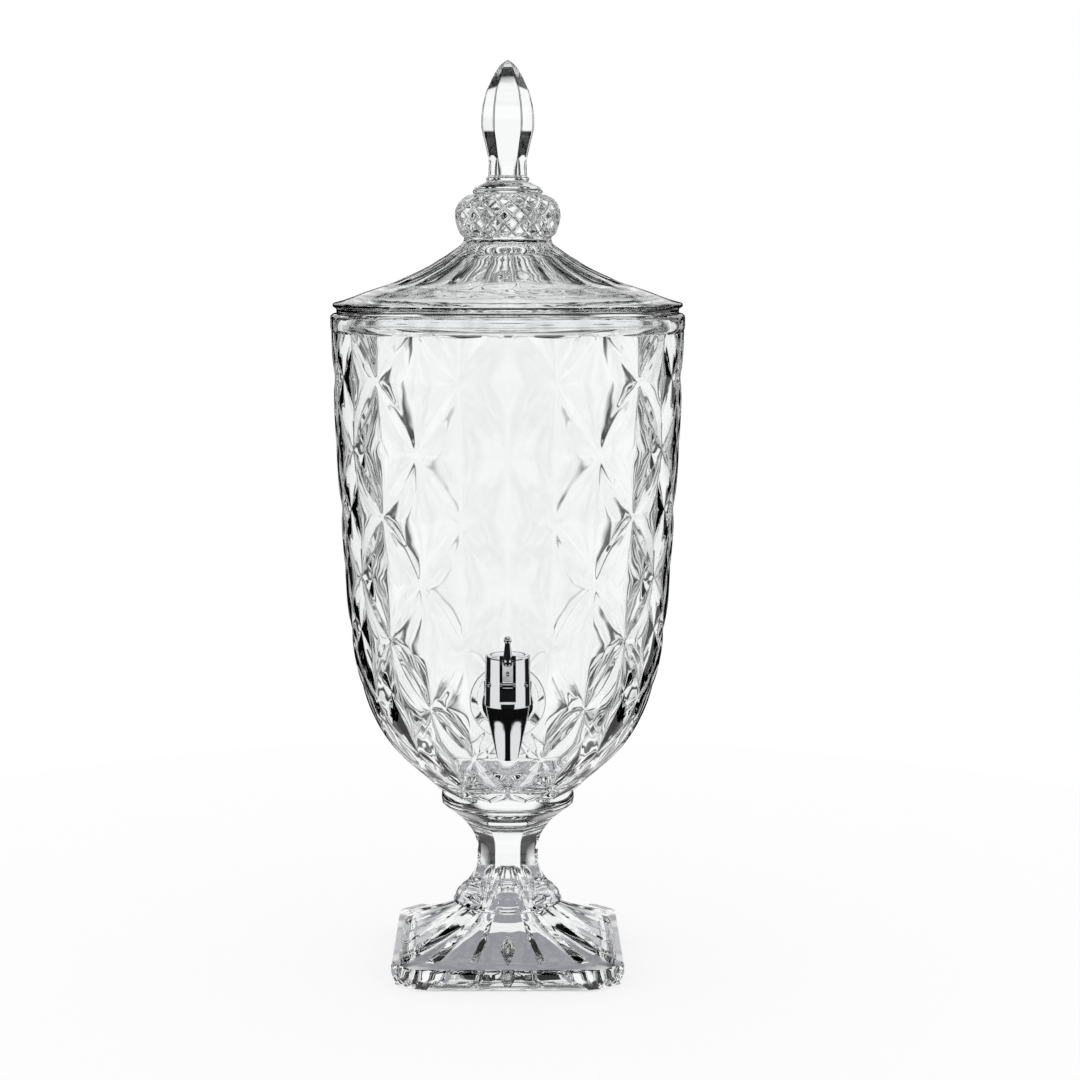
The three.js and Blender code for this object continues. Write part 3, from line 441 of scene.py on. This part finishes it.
def stem():
    """The stem: a round profile whose sections flatten into eight facets. A facet's reach is as
    cos 22.5 over the cosine of the bearing from its middle, and its ridges stand out of the round."""
    columns = bearings(192)
    half = 22.5
    from_middle = half - np.abs(columns % (2 * half) - half)
    facet = np.cos(np.radians(half)) / np.cos(np.radians(from_middle))
    profile = curve_through([
        (31, 36), (28.2, 41.7), (25.3, 44), (23.2, 46.6), (21.7, 49), (20.6, 51.4), (19.2, 56), (18.5, 61),
        (18.5, 65.8), (18.8, 70.7), (19.9, 75.5), (22.6, 80.3), (26.1, 85), (31.3, 89.9), (37.7, 94.6),
    ], 3)
    rows = []
    for radius, height in profile:
        flat = np.interp(height, [38, 44, 88, 94], [0, 1, 1, 0])
        reach = radius / np.cos(np.radians(half)) ** 0.35 * (1 - flat + flat * facet)
        rows.append(around(np.minimum(reach, COLLAR_RADIUS - 0.4), columns, height))
    return body("stem", np.stack(rows), ON_BOWL_AXIS)


def collar():
    """The collar disc that the bowl is fused to."""
    profile = [
        (35.5, 93.6), (37.2, 94.2), (38.2, 95.4), (COLLAR_RADIUS, 97), (COLLAR_RADIUS, 99), (38.2, 100.6),
        (37.6, 101.6), (36.6, 103),
    ]
    return body("collar", turned(profile, 192), ON_BOWL_AXIS)


# Bowl

# The wall's [radius, height] points, with one row of cells between each two
WALL = [
    (37.8, 102), (47.8, 110), (70.8, 134), (84.3, 163.4), (91.4, 199.6), (93.8, 233.3),
    (96.4, 269), (98.2, 304.4), (99.9, 343.1), (100.4, 378.5),
]
WALL_TOP = 371.0
CELLS_ROUND = 24
CELL_STEPS = 16
# The widest part of a side's band, as a share of half a lozenge, and the depth of its middle
BAND = 0.15
HOLLOW = 1.7


def diamond_wall():
    """The outside of the bowl: a turned form under a lattice of lozenges. About its centre each
    lozenge runs from -1 to 1 in p = u + v and q = u - v. A side's band is widest at its middle and
    closes at its ends, and inside it the wall sinks steeply, then gently, to the centre."""
    line = curve_through(WALL, CELL_STEPS)
    line = line[line[:, 1] < WALL_TOP]
    columns = CELLS_ROUND * CELL_STEPS
    u, v, even = lattice(len(line), columns, CELL_STEPS)
    across = np.where(even, np.where(u + v < 1, u, u - 1), np.where(u > v, u - 1, u))
    upward = np.where(even, np.where(u + v < 1, v, v - 1), np.where(u > v, v, v - 1))
    p, q = across + upward, across - upward
    inset = np.minimum(1 - np.abs(p) - BAND * (1 - q**2), 1 - np.abs(q) - BAND * (1 - p**2))
    inside = np.clip(inset / (1 - BAND), 0, 1)
    radius = line[:, :1] - HOLLOW * (1 - (1 - inside) ** 2.4)
    wall = around(radius, bearings(columns), line[:, 1:])
    start = turned([(37.0, 100.5)], columns)
    crossed = np.concatenate([np.zeros((1, columns), bool), even[:-1]])
    return body("diamond_wall", np.concatenate([start, wall]), ON_BOWL_AXIS, crossed)


def rim_band():
    """The plain band round the mouth, with a quarter round on its upper edge."""
    outside, rounding = 100.9, 2.6
    lower = [(96, 367.0), (98.4, 367.2), (99.9, 368.2), (100.6, 369.6), (outside, 371.4), (outside, 374.6)]
    turn = np.linspace(0, np.pi / 2, 7)
    upper = np.column_stack([outside - rounding * (1 - np.cos(turn)), 375.9 + rounding * np.sin(turn)])
    return body("rim_band", turned(np.vstack([lower, upper]), 384), ON_BOWL_AXIS)


def bowl_hollow():
    """The smooth inside of the bowl, from its floor to its mouth and out over a rounded lip. The
    shares are of the mouth's radius and of the hollow's depth."""
    mouth, floor_height, deep, rounding = 94.2, 111.0, 267.5, 1.8
    shares = [
        (0.02, 0.0), (0.28, 0.005), (0.46, 0.045), (0.62, 0.1), (0.745, 0.17), (0.83, 0.245),
        (0.885, 0.34), (0.925, 0.49), (0.96, 0.69), (0.985, 0.87), (0.995, 0.985),
    ]
    side = curve_through([(mouth * r, floor_height + deep * h) for r, h in shares], 6)
    turn = np.linspace(0.1, np.pi / 2, 6)
    lip = np.column_stack([mouth + rounding - rounding * np.cos(turn), 376.7 + rounding * np.sin(turn)])
    profile = np.vstack([side, lip, (mouth + rounding, 384)])
    return body("bowl_hollow", turned(profile, 192), ON_BOWL_AXIS)


def vessel_glass():
    """Bowl and pedestal as the one piece of glass that they are after fusing. A flat pad outside and
    a niche with a flat floor inside carry the tap, and a hole goes through both."""
    at = (0, BOWL_AXIS, SHANK_HEIGHT)
    niche_radius, niche_floor, hole_radius = 16, -79, 8.7
    pad_profile = [(19.7, -90.8), (20.2, -90.6), (20.5, -90.1), (20.6, -89.4), (20.8, niche_floor)]
    pad = body("pad", along_y(turned(pad_profile, 96)), at)
    inner_pad = body("inner_pad", along_y(bar(niche_radius, -90, niche_floor, 96)), at)
    niche = body("niche", along_y(bar(niche_radius, niche_floor, -40, 96)), at)
    hole = body("hole", along_y(bar(hole_radius, -95, -40, 96)), at)
    wall = combine("wall", diamond_wall(), [rim_band(), pad], [bowl_hollow()], [inner_pad])
    wall = combine("wall", wall, cut=[niche, hole])
    leaves = [foot_leaf(side) for side in range(4)]
    base = combine("base", foot(), [lobed_ring(), stem(), collar()], [foot_hollow(), *leaves])
    return combine("vessel_glass", wall, [base])


dress(vessel_glass(), GLASS, "vessel", ["bowl", "pedestal"], 30)


# Lid and finial. The lid's flutes and diamonds are turned a little in their seat

LID_TURN = 5.0
FLUTES = 20


def fluted_cone():
    """The lid's cone: across a flute the depth falls off as 1 - a squared, and towards the rim the
    flute closes in a half-round end. The cut goes straight down at the rim and inwards at the neck."""
    steps = 14
    rim_height, neck_height = 384.7, 420.4
    flute_end, end_length = 60.0, 10.5
    rim = [
        (97.4, 378.8), (97.4, 380.9), (97.9, 381.4), (98.9, 381.9), (99.5, 382.7), (99.5, 383.6),
        (98.9, 384.3),
    ]
    cone = curve_through([
        (97.6, rim_height), (93.4, 385.8), (87, 388), (81.7, 390.1), (73.5, 392.8), (65.5, 395.6),
        (58.4, 398.6), (51.7, 401.6), (47.2, 403.8), (43.2, 406), (39.5, 408.4), (35.5, 410.7),
        (31.6, 413.4), (27.8, 416), (25.6, 418.2), (24.9, neck_height), (25.0, 422.2),
    ], 3)
    line = np.vstack([rim, cone])
    radius, height = line[:, :1], line[:, 1:]
    columns = np.arange(FLUTES * steps)
    across = (columns % steps) / steps * 2 - 1
    past = np.clip(radius - flute_end, 0, None) / end_length
    deep = np.interp(radius, [24.9, 27, 34, 50, 70], [0.3, 0.9, 1.7, 2.0, 2.0])
    cut = deep * np.clip(1 - across**2 - past**2, 0, 1) ** 0.8
    inward = np.clip((height - rim_height) / (neck_height - rim_height), 0, 1) ** 0.6
    grid = around(radius - cut * inward, bearings(len(columns)) + LID_TURN, height - cut * (1 - inward))
    return body("fluted_cone", grid, ON_BOWL_AXIS)


def lid_hollow():
    """The hollow under the lid, one wall inside the cone."""
    line = curve_through([
        (87.5, 371.5), (87.2, 376), (84, 380.6), (76, 384.2), (66, 387.8), (56, 391.8), (46, 396.4),
        (36, 402.2), (28, 408), (20, 411.8), (12, 413.6), (4, 414.4),
    ], 4)
    return body("lid_hollow", turned(np.vstack([(87.5, 362), line]), 160), ON_BOWL_AXIS)


def skirt():
    """The ring that hangs inside the bowl's mouth and keeps the lid in place."""
    profile = [(89.5, 371.0), (91.2, 371.2), (92.3, 372), (92.7, 373.4), (92.7, 381.5)]
    return body("skirt", turned(profile, 280), ON_BOWL_AXIS)


def hobnail_ball():
    """The ball: a turned form under a lattice of rounded diamonds that stand proud of V-shaped
    grooves. A diamond's height is as 1 - (1 - s) squared, where s goes from 0 in the groove to 1, and
    the diamonds fade out at both ends of the ball."""
    steps, nails = 8, 20
    proud, shoulder, fading = 1.6, 0.42, 0.7
    line = curve_through([
        (24.6, 421.0), (26.0, 424.2), (27.6, 428.6), (28.3, 432.8), (27.9, 437.0), (25.7, 441.2),
        (21.6, 445.0),
    ], steps)
    columns = nails * 2 * steps
    u, v, even = lattice(len(line), columns, steps)
    reach = np.where(even, np.minimum(u + v, 2 - u - v), np.minimum(1 - u + v, u + 1 - v))
    nail = 1 - (1 - np.clip((1 - reach) / shoulder, 0, 1)) ** 2
    cells_up = np.arange(len(line))[:, None] / steps
    fade = np.clip(np.minimum(cells_up / fading, (len(line) / steps - cells_up) / fading), 0, 1)
    radius = line[:, :1] + proud * nail * fade
    grid = around(radius, bearings(columns) + LID_TURN, line[:, 1:])
    return body("hobnail_ball", grid, ON_BOWL_AXIS, even[:-1])


def lid_collar():
    """The stepped collar under the finial."""
    profile = [
        (17.5, 440), (19.2, 445.6), (19.8, 446.4), (19.8, 447.3), (19.4, 447.9), (18.9, 448.2),
        (18.7, 448.9), (17.2, 449.9), (15.0, 450.9), (13.4, 451.6), (12.3, 452.4), (11.9, 453.0),
        (12.2, 453.4), (12.2, 454.5), (11.6, 455.0),
    ]
    return body("lid_collar", turned(profile, 120), ON_BOWL_AXIS)


def finial():
    """The spear: round at its neck, then six flat facets, with the first facing the tap. A facet's
    reach is as cos 30 over the cosine of the bearing from its middle, up to where the ridge between
    two facets is ground off."""
    columns = bearings(120)
    from_middle = np.minimum(np.abs((columns + 30) % 60 - 30), 27)
    facet = np.cos(np.radians(30)) / np.cos(np.radians(from_middle))
    line = curve_through([
        (11.3, 454.0), (10.9, 456.5), (10.8, 460), (10.9, 463.5), (11.6, 466.7), (12.7, 471), (13.8, 475.6),
        (15.0, 480), (15.4, 486), (14.8, 493.4), (13.8, 497.8), (12.7, 502), (10.6, 506.7), (8.4, 511),
        (5.6, 515.5), (3.6, 517.7), (1.2, 519.5),
    ], 4)
    rows = []
    for radius, height in line:
        flat = np.interp(height, [458, 468], [0, 1])
        rows.append(around(radius * (1 - flat + flat * facet), columns, height))
    rows.append(around(0.4, columns, 519.9))
    return body("spear", np.stack(rows), ON_BOWL_AXIS)


def cover_glass():
    """Lid, ball, collar and finial as the one piece of glass that they are after fusing."""
    added = [skirt(), hobnail_ball(), lid_collar(), finial()]
    return combine("cover_glass", fluted_cone(), added, [lid_hollow()])


dress(cover_glass(), GLASS, "cover", ["lid", "finial"], 32)


# Fastening on the shank: each ring's profile is [radius, depth behind its front face]

RING_BORE = 7.9


def on_shank(name, profile, front):
    """A ring on the shank: its profile carried round, less its bore."""
    at = (0, front, SHANK_HEIGHT)
    bore = body("ring_bore", along_y(bar(RING_BORE, -4, 14, 96)), at)
    return combine(name, body(name, along_y(turned(profile, 96)), at), cut=[bore])


def soft_ring(name, front, thick, radius):
    """A flat silicone washer with moulded edges rounded to 0.5 mm."""
    turn = np.linspace(0, np.pi / 2, 5)
    edge = np.column_stack([radius - 0.5 + 0.5 * np.sin(turn), 0.5 - 0.5 * np.cos(turn)])
    back = np.column_stack([edge[::-1, 0], thick - edge[::-1, 1]])
    return on_shank(name, np.vstack([edge, back]), front)


def hexagon_nut():
    """The lock nut: six flats 24 mm apart, chamfered corners, and a washer face in front."""
    thick, half_flat = 7.0, 12.0
    at = (0, middle("lock_nut", 1) - thick / 2, SHANK_HEIGHT)
    outside = [(11.5, 0.0), (11.5, 0.5), (12.2, 0.55), (13.8, 1.5), (13.8, 5.4), (12.0, thick)]
    inside = [(8.6, -1.0), (8.6, 0.0), (RING_BORE, 0.7), (RING_BORE, 6.3), (8.6, thick), (8.6, 8.0)]
    round_part = body("round_part", along_y(turned(outside, 96)), at)
    flats = body("flats", along_y(bar(half_flat / np.cos(np.pi / 6), -1, 8, 6)), at)
    bore = body("nut_bore", along_y(turned(inside, 96)), at)
    return combine("hexagon_nut", round_part, cut=[bore], within=[flats])


flat_ring = [(12.2, 0.0), (12.4, 0.15), (12.4, 0.85), (12.2, 1.0)]
dress(soft_ring("flange_washer", -81.3, 2.5, 13.2), SILICONE, "vessel", ["outer_washer"])
dress(soft_ring("niche_washer", -66.4, 3.0, 13.0), SILICONE, "vessel", ["inner_washer"])
dress(on_shank("steel_ring", flat_ring, -63.1), STEEL, "vessel", ["plain_washer"])
dress(hexagon_nut(), NYLON, "vessel", ["lock_nut"])


# Tap, drawn about its upright axis with the shank's axis at height zero

SLOT_HALF = 4.3
SHANK_RADIUS = 7.6
PIN_RADIUS = 1.5
PIN_FORWARD = 7.0
PIN_LIFT = 15.05


def tap_form(name, grid, lift=0.0, forward=0.0):
    """A closed body placed on the tap's axis."""
    return body(name, grid, (0, TAP_AXIS - forward, SHANK_HEIGHT + lift))


def tap_outside():
    """The tulip spout and the barrel over it, as one turned profile."""
    end = [(4.6, -26.7), (5.2, -26.6), (5.45, -26.3)]
    tulip = curve_through([
        (5.6, -26.0), (6.0, -24.5), (6.85, -21), (8.0, -16), (9.05, -11.4), (9.9, -7.6), (10.95, -2.8),
        (11.4, 0.0), (11.6, 2.2),
    ], 6)
    barrel = [
        (11.7, 2.7), (12.1, 2.9), (12.3, 3.2), (12.3, 4.0), (12.28, 4.7), (11.87, 28.5), (11.85, 29.2),
        (11.7, 29.7), (11.3, 30.0),
    ]
    return tap_form("tap_outside", turned(np.vstack([end, tulip, barrel]), 96))


def tap_back():
    """The neck, the flange and the shank behind the barrel, turned about the shank's axis. The
    shank's end carries a thread: its radius rises and falls by turns, one turn in 1.5 mm."""
    neck = [(7.0, 2.0), (7.0, 15.0), (7.4, 15.9), (8.2, 16.3)]
    flange = [(12.9, 16.3), (13.5, 16.5), (13.8, 17.0), (13.8, 18.8), (13.5, 19.3)]
    shank = [(SHANK_RADIUS, 19.3), (SHANK_RADIUS, 22.0)]
    places = np.arange(22.5, 49.2, 0.75)
    thread = [(SHANK_RADIUS - 0.5 * (k % 2), place) for k, place in enumerate(places)]
    profile = neck + flange + shank + thread + [(7.0, 50.1)]
    return tap_form("tap_back", along_y(turned(profile, 72)))


def chrome_tap():
    """The tap's casting: the turned outside and the shank, bored for the valve and the flow, and
    slotted for the lever."""
    spout_bore = [(4.6, -31), (4.6, -25.9), (3.8, -25.0), (3.8, -6)]
    cut = [
        tap_form("valve_bore", bar(7.2, -10, 34, 72)),
        tap_form("spout_bore", turned(spout_bore, 72)),
        tap_form("shank_bore", along_y(bar(4.2, 0, 54, 48))),
        tap_form("cap_seat", bar(9.4, 27, 34, 72)),
        tap_form("slot", box((-SLOT_HALF, -17, 12.45), (SLOT_HALF, 0, 34))),
        tap_form("recess", box((-SLOT_HALF, -17, 5.4), (SLOT_HALF, -8.9, 30))),
        tap_form("pin_hole", along_x(bar(PIN_RADIUS, -13, 13, 32)), PIN_LIFT, PIN_FORWARD),
    ]
    return combine("chrome_tap", tap_outside(), [tap_back()], cut)


def barrel_cap():
    """The cap over the spring, slotted for the lever, with its edge rounded."""
    profile = [(8.7, 27.3), (9.1, 27.6), (9.1, 29.5), (8.7, 29.9), (8.2, 30.0)]
    disc = tap_form("disc", turned(profile, 72))
    spigot = tap_form("spigot", bar(1.8, 26.1, 28, 24))
    slot = tap_form("cap_slot", box((-SLOT_HALF, -13, 20), (SLOT_HALF, -4.2, 34)))
    return combine("barrel_cap", disc, [spigot], [slot])


def chrome_lever():
    """The lever: hub, arm and nose, a plate with an oval dimple, and a round handle that tapers to a
    ball."""
    at = (0, PIN_AXIS, PIN_HEIGHT)
    nose_reach, dimple_height = 7, 5.9
    hub = body("hub", along_x(turned([(2.1, -2.8), (2.3, -2.6), (2.3, 2.6), (2.1, 2.8)], 48)), at)
    nose_form = along_x(turned([(1.3, -2.2), (1.5, -2.0), (1.5, 2.0), (1.3, 2.2)], 32))
    nose = body("nose", nose_form, (0, PIN_AXIS + nose_reach, PIN_HEIGHT))
    arm = body("arm", box((-2.2, 0, -1.2), (2.2, nose_reach, 1.2)), at)
    # The plate's front leans back, so that its top is thin
    wedge = box((-2.8, -1.5, 0), (2.8, 1.5, 12))
    wedge[1, :2, 1] = 0.3
    plate = body("plate", wedge, at)
    handle_line = curve_through([
        (0.9, 9.9), (1.8, 10.2), (2.35, 11.1), (2.5, 12.5), (2.4, 14.5), (2.1, 17.5), (1.8, 20),
        (1.55, 22.2), (1.5, 23.0),
    ], 5)
    handle = body("handle", turned(handle_line, 40), at)
    turn = np.linspace(-1.15, 1.5, 16)
    ball_line = np.column_stack([2.15 * np.cos(turn), 23.85 + 2.15 * np.sin(turn)])
    ball = body("ball", turned(ball_line, 40), at)
    pin_bore = body("pin_bore", along_x(bar(PIN_RADIUS, -6, 6, 32)), at)
    lap = np.linspace(-1.5, 1.5, 9)
    oval = turned(np.column_stack([0.9 * np.cos(lap), 1.1 * np.sin(lap)]), 32) * (1, 1.6, 1)
    dimple = body("dimple", along_y(oval), (0, PIN_AXIS - 0.6, PIN_HEIGHT + dimple_height))
    return combine("chrome_lever", hub, [nose, arm, plate, handle, ball], [pin_bore, dimple])


def coil_spring():
    """The spring under the cap: a wire whose end turns lie flat and whose turns between climb
    evenly."""
    wire, turns, flat, steps = 0.35, 4, 0.5, 32
    low, high = (np.array(corner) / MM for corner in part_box("return_spring"))
    lap = np.linspace(0, turns, turns * steps + 1)[:, None]
    climb = np.clip((lap - flat) / (turns - 2 * flat), 0, 1)
    wire_height = low[2] + wire + (high[2] - low[2] - 2 * wire) * climb
    section = np.linspace(0, 2 * np.pi, 16, endpoint=False)
    radius = (high[0] - low[0]) / 2 - wire + wire * np.cos(section)
    coil = around(radius, lap * 360, wire_height - wire * np.sin(section))
    return body("coil_spring", coil, (0, TAP_AXIS, 0))


dress(chrome_tap(), CHROME, "vessel", ["tap_body"], 28)
dress(barrel_cap(), CHROME, "vessel", ["tap_cap"], 28)
dress(chrome_lever(), CHROME, "lever", ["tap_lever"], 28)
# The spring rides on no body, and its placing is baked into its points
spring = dress(coil_spring(), STEEL, None, ["return_spring"])
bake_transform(spring)


# Studio: a round white table in a white surround. Dark strips show only in glass and in chrome

WHITE = linear("#ffffff")
# Each stop is a place and a grey. In the first two lists the place is a share of a turn, which starts
# at the left (-X) and passes the tap's side at 0.25. Chrome sees light panels below the horizon, and
# on the horizon a light strip to the right of the tap, which shows on the handle
PANELS = [
    (0.0, 0.95), (0.148, 0.95), (0.158, 0.01), (0.342, 0.01), (0.352, 0.95), (0.515, 0.95), (0.53, 0.01),
    (0.97, 0.01), (0.985, 0.95),
]
HORIZON = [(0.47, 0.01), (0.48, 0.75), (0.63, 0.75), (0.64, 0.01)]
# Here the place is the height of a direction of length 1, and a grey of 1 shows the panels, or the
# light parts of the sky over them
PANEL_HEIGHTS = [(-0.215, 0), (-0.2, 1), (-0.1, 1), (-0.07, 0)]
SKY_HEIGHTS = [(0.09, 0), (0.13, 1), (0.32, 1), (0.38, 0), (0.84, 0), (0.9, 1)]
# Glass sees the same strips in each quarter, at degrees from the front or the back round to the side,
# and fewer of them higher up
STRIPS = [
    (11, 1), (13.5, 0.6), (15.8, 0.01), (19.5, 0.01), (20.3, 0.9), (23.5, 0.9), (24.3, 0.01), (30, 0.02),
    (32, 1), (49, 1), (51, 0.01), (57, 0.1), (59.5, 1), (66, 1), (68, 0.03), (73, 0.1), (76, 1),
]
SKY_STRIPS = [(12, 1), (15, 0.01), (43, 0.01), (46, 1)]
# Heights again: glass sees a dark band below the horizon and a dark ceiling
BANDS = [(-0.86, 1), (-0.8, 0.02), (-0.42, 0.02), (-0.36, 1), (0.78, 1), (0.84, 0.1)]


def between(heights):
    """Stops for heights from -1 to 1, on a ramp from 0 to 1."""
    return [((1 + place) / 2, grey) for place, grey in heights]


def strips_in_glass(tree, direction, strips):
    """The strips that glass sees in a direction. The gradient runs from 0.5 at the side to 0.75 at the
    front and the back."""
    quarter = add(tree, "ShaderNodeVectorMath", {"operation": "ABSOLUTE"}, _0=direction)
    turn = add(tree, "ShaderNodeTexGradient", {"gradient_type": "RADIAL"}, Vector=quarter.outputs[0])
    stops = [(0.75 - degrees / 360, grey) for degrees, grey in reversed(strips)]
    return add(tree, "ShaderNodeValToRGB", {"stops": stops}, Fac=turn.outputs["Fac"]).outputs[0]


def by_ray(tree, rays, in_chrome, in_glass):
    """White for the camera and for diffuse light, and a picture of their own for chrome and glass."""
    glossy = add(tree, "ShaderNodeMix", COLOURS | {6: WHITE}, _0=rays["Is Glossy Ray"], _7=in_chrome)
    return add(
        tree, "ShaderNodeMix", COLOURS,
        _0=rays["Is Transmission Ray"], _6=glossy.outputs[2], _7=in_glass,
    ).outputs[2]


def table():
    """White paper: its own colour under the light, and a glow that keeps it white to the camera, with
    the shadow on it left to show. Distances in it are metres. Glass sees its strips on the table, and a
    painted shadow, a flat grey, under the foot. Chrome sees the table black with a light petal on each
    side. There the angle from the tap's front, as a share of a turn and counted alike on both sides,
    plus a multiple of the distance from the tap is past each of two limits."""
    material = bpy.data.materials.new("white_paper")
    tree = empty_tree(material)
    place = add(tree, "ShaderNodeTexCoord").outputs["Object"]
    rays = add(tree, "ShaderNodeLightPath").outputs

    less_tap_axis = {"operation": "SUBTRACT", 1: (0, TAP_AXIS * MM, 0)}
    from_tap = add(tree, "ShaderNodeVectorMath", less_tap_axis, _0=place).outputs[0]
    far = add(tree, "ShaderNodeVectorMath", {"operation": "LENGTH"}, _0=from_tap).outputs["Value"]
    bearing = add(tree, "ShaderNodeTexGradient", {"gradient_type": "RADIAL"}, Vector=from_tap)
    aside = add(tree, "ShaderNodeMath", {"operation": "SUBTRACT", 1: 0.25}, _0=bearing.outputs["Fac"])
    aside = add(tree, "ShaderNodeMath", {"operation": "PINGPONG", 1: 0.5}, _0=aside.outputs[0])
    sides = []
    for lean, start, end in ((0.8, 0.226, 0.236), (-2.56, -0.52, -0.508)):
        sum_with = {"operation": "MULTIPLY_ADD", 1: lean}
        limit = add(tree, "ShaderNodeMath", sum_with, _0=far, _2=aside.outputs[0])
        past = {"From Min": start, "From Max": end}
        sides.append(add(tree, "ShaderNodeMapRange", past, Value=limit.outputs[0]).outputs[0])
    petals = add(tree, "ShaderNodeMath", {"operation": "MULTIPLY"}, _0=sides[0], _1=sides[1])
    black_to_light = COLOURS | {6: linear("#101010"), 7: linear("#fafafa")}
    in_chrome = add(tree, "ShaderNodeMix", black_to_light, _0=petals.outputs[0])

    less_bowl_axis = {"operation": "SUBTRACT", 1: (0, BOWL_AXIS * MM, 0)}
    from_foot = add(tree, "ShaderNodeVectorMath", less_bowl_axis, _0=place).outputs[0]
    off = add(tree, "ShaderNodeVectorMath", {"operation": "LENGTH"}, _0=from_foot).outputs["Value"]
    # Painted shadow for glass: a flat grey within 62 mm of the bowl's axis, giving way to the strips by 85
    # mm
    painted_shadow_mask = add(tree, "ShaderNodeValToRGB", {"stops": [(0.062, 1), (0.085, 0)]}, Fac=off)
    strips = strips_in_glass(tree, from_foot, STRIPS)
    grey = COLOURS | {7: linear("#999aa0")}
    in_glass = add(tree, "ShaderNodeMix", grey, _0=painted_shadow_mask.outputs[0], _6=strips)

    # The glow's share in what each kind of ray sees
    share = add(tree, "ShaderNodeMath", {"operation": "MULTIPLY", 1: 0.75}, _0=rays["Is Camera Ray"])
    for name, part in (("Is Glossy Ray", 1.0), ("Is Transmission Ray", 0.9)):
        sum_with = {"operation": "MULTIPLY_ADD", 1: part}
        share = add(tree, "ShaderNodeMath", sum_with, _0=rays[name], _2=share.outputs[0])
    seen = by_ray(tree, rays, in_chrome.outputs[2], in_glass.outputs[2])
    paper = add(tree, "ShaderNodeBsdfDiffuse", {"Color": linear("#fcfcfc")})
    glow = add(tree, "ShaderNodeEmission", {"Strength": 1.0}, Color=seen)
    mixed = add(
        tree, "ShaderNodeMixShader", _0=share.outputs[0], _1=paper.outputs[0], _2=glow.outputs[0]
    )
    add(tree, "ShaderNodeOutputMaterial", Surface=mixed.outputs[0])
    return material


def surround():
    """The world. Chrome sees light panels below the horizon, a light strip on it, and a sky that is
    light low down, dark above and light again at the top. Glass sees its strips near the horizon and
    the sky's higher up, both darkened by its bands."""
    world = bpy.data.worlds.new("studio")
    tree = empty_tree(world)
    way = add(tree, "ShaderNodeTexCoord").outputs["Generated"]
    rays = add(tree, "ShaderNodeLightPath").outputs
    height = add(tree, "ShaderNodeSeparateXYZ", Vector=way).outputs["Z"]
    up = add(tree, "ShaderNodeMapRange", {"From Min": -1.0, "From Max": 1.0}, Value=height).outputs[0]
    turn = add(tree, "ShaderNodeTexGradient", {"gradient_type": "RADIAL"}, Vector=way).outputs["Fac"]

    panels = add(tree, "ShaderNodeValToRGB", {"stops": PANELS}, Fac=turn)
    horizon = add(tree, "ShaderNodeValToRGB", {"stops": HORIZON}, Fac=turn)
    low = add(tree, "ShaderNodeValToRGB", {"stops": between(PANEL_HEIGHTS)}, Fac=up)
    sky = add(tree, "ShaderNodeValToRGB", {"stops": between(SKY_HEIGHTS)}, Fac=up)
    lower = add(
        tree, "ShaderNodeMix", COLOURS, _0=low.outputs[0], _6=horizon.outputs[0], _7=panels.outputs[0]
    )
    in_chrome = add(
        tree, "ShaderNodeMix", COLOURS | {7: WHITE}, _0=sky.outputs[0], _6=lower.outputs[2]
    )

    above = add(tree, "ShaderNodeMapRange", {"From Min": 0.17, "From Max": 0.21}, Value=height)
    both = add(
        tree, "ShaderNodeMix", COLOURS, _0=above.outputs[0],
        _6=strips_in_glass(tree, way, STRIPS), _7=strips_in_glass(tree, way, SKY_STRIPS),
    )
    bands = add(tree, "ShaderNodeValToRGB", {"stops": between(BANDS)}, Fac=up)
    in_glass = add(
        tree, "ShaderNodeMix", COLOURS | {"blend_type": "MULTIPLY", 0: 1.0},
        _6=both.outputs[2], _7=bands.outputs[0],
    )

    seen = by_ray(tree, rays, in_chrome.outputs[2], in_glass.outputs[2])
    background = add(tree, "ShaderNodeBackground", {"Strength": 1.0}, Color=seen)
    add(tree, "ShaderNodeOutputWorld", Surface=background.outputs[0])
    return world


TABLE_RADIUS = 620
TABLE_THICKNESS = 12

floor = body("floor", bar(TABLE_RADIUS, -TABLE_THICKNESS, 0, 128))
floor.data.materials.append(table())

bpy.context.scene.world = surround()


# Camera, as fitted to the photograph's outline, with its pitch in radians

CAMERA_DISTANCE = 1311.5
CAMERA_HEIGHT = 413.66
LOOK_DOWN = 0.12563

camera = bpy.data.objects.new("camera", bpy.data.cameras.new("camera"))
bpy.context.scene.collection.objects.link(camera)
camera.location = (0, (BOWL_AXIS - CAMERA_DISTANCE) * MM, CAMERA_HEIGHT * MM)
camera.rotation_euler = (np.pi / 2 - LOOK_DOWN, 0, 0)
camera.data.lens = 76.38
camera.data.shift_x = 0.0299
bpy.context.scene.camera = camera
bpy.context.scene.view_settings.view_transform = "Standard"


# Pieces of the tap that keep their shape from the CAD

kept_shapes = {"lever_pin": STEEL, "seat_cup": SILICONE, "stem_seal": RUBBER, "valve_stem": NYLON}
for node, material in kept_shapes.items():
    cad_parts[node].data.materials.clear()
    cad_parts[node].data.materials.append(material)
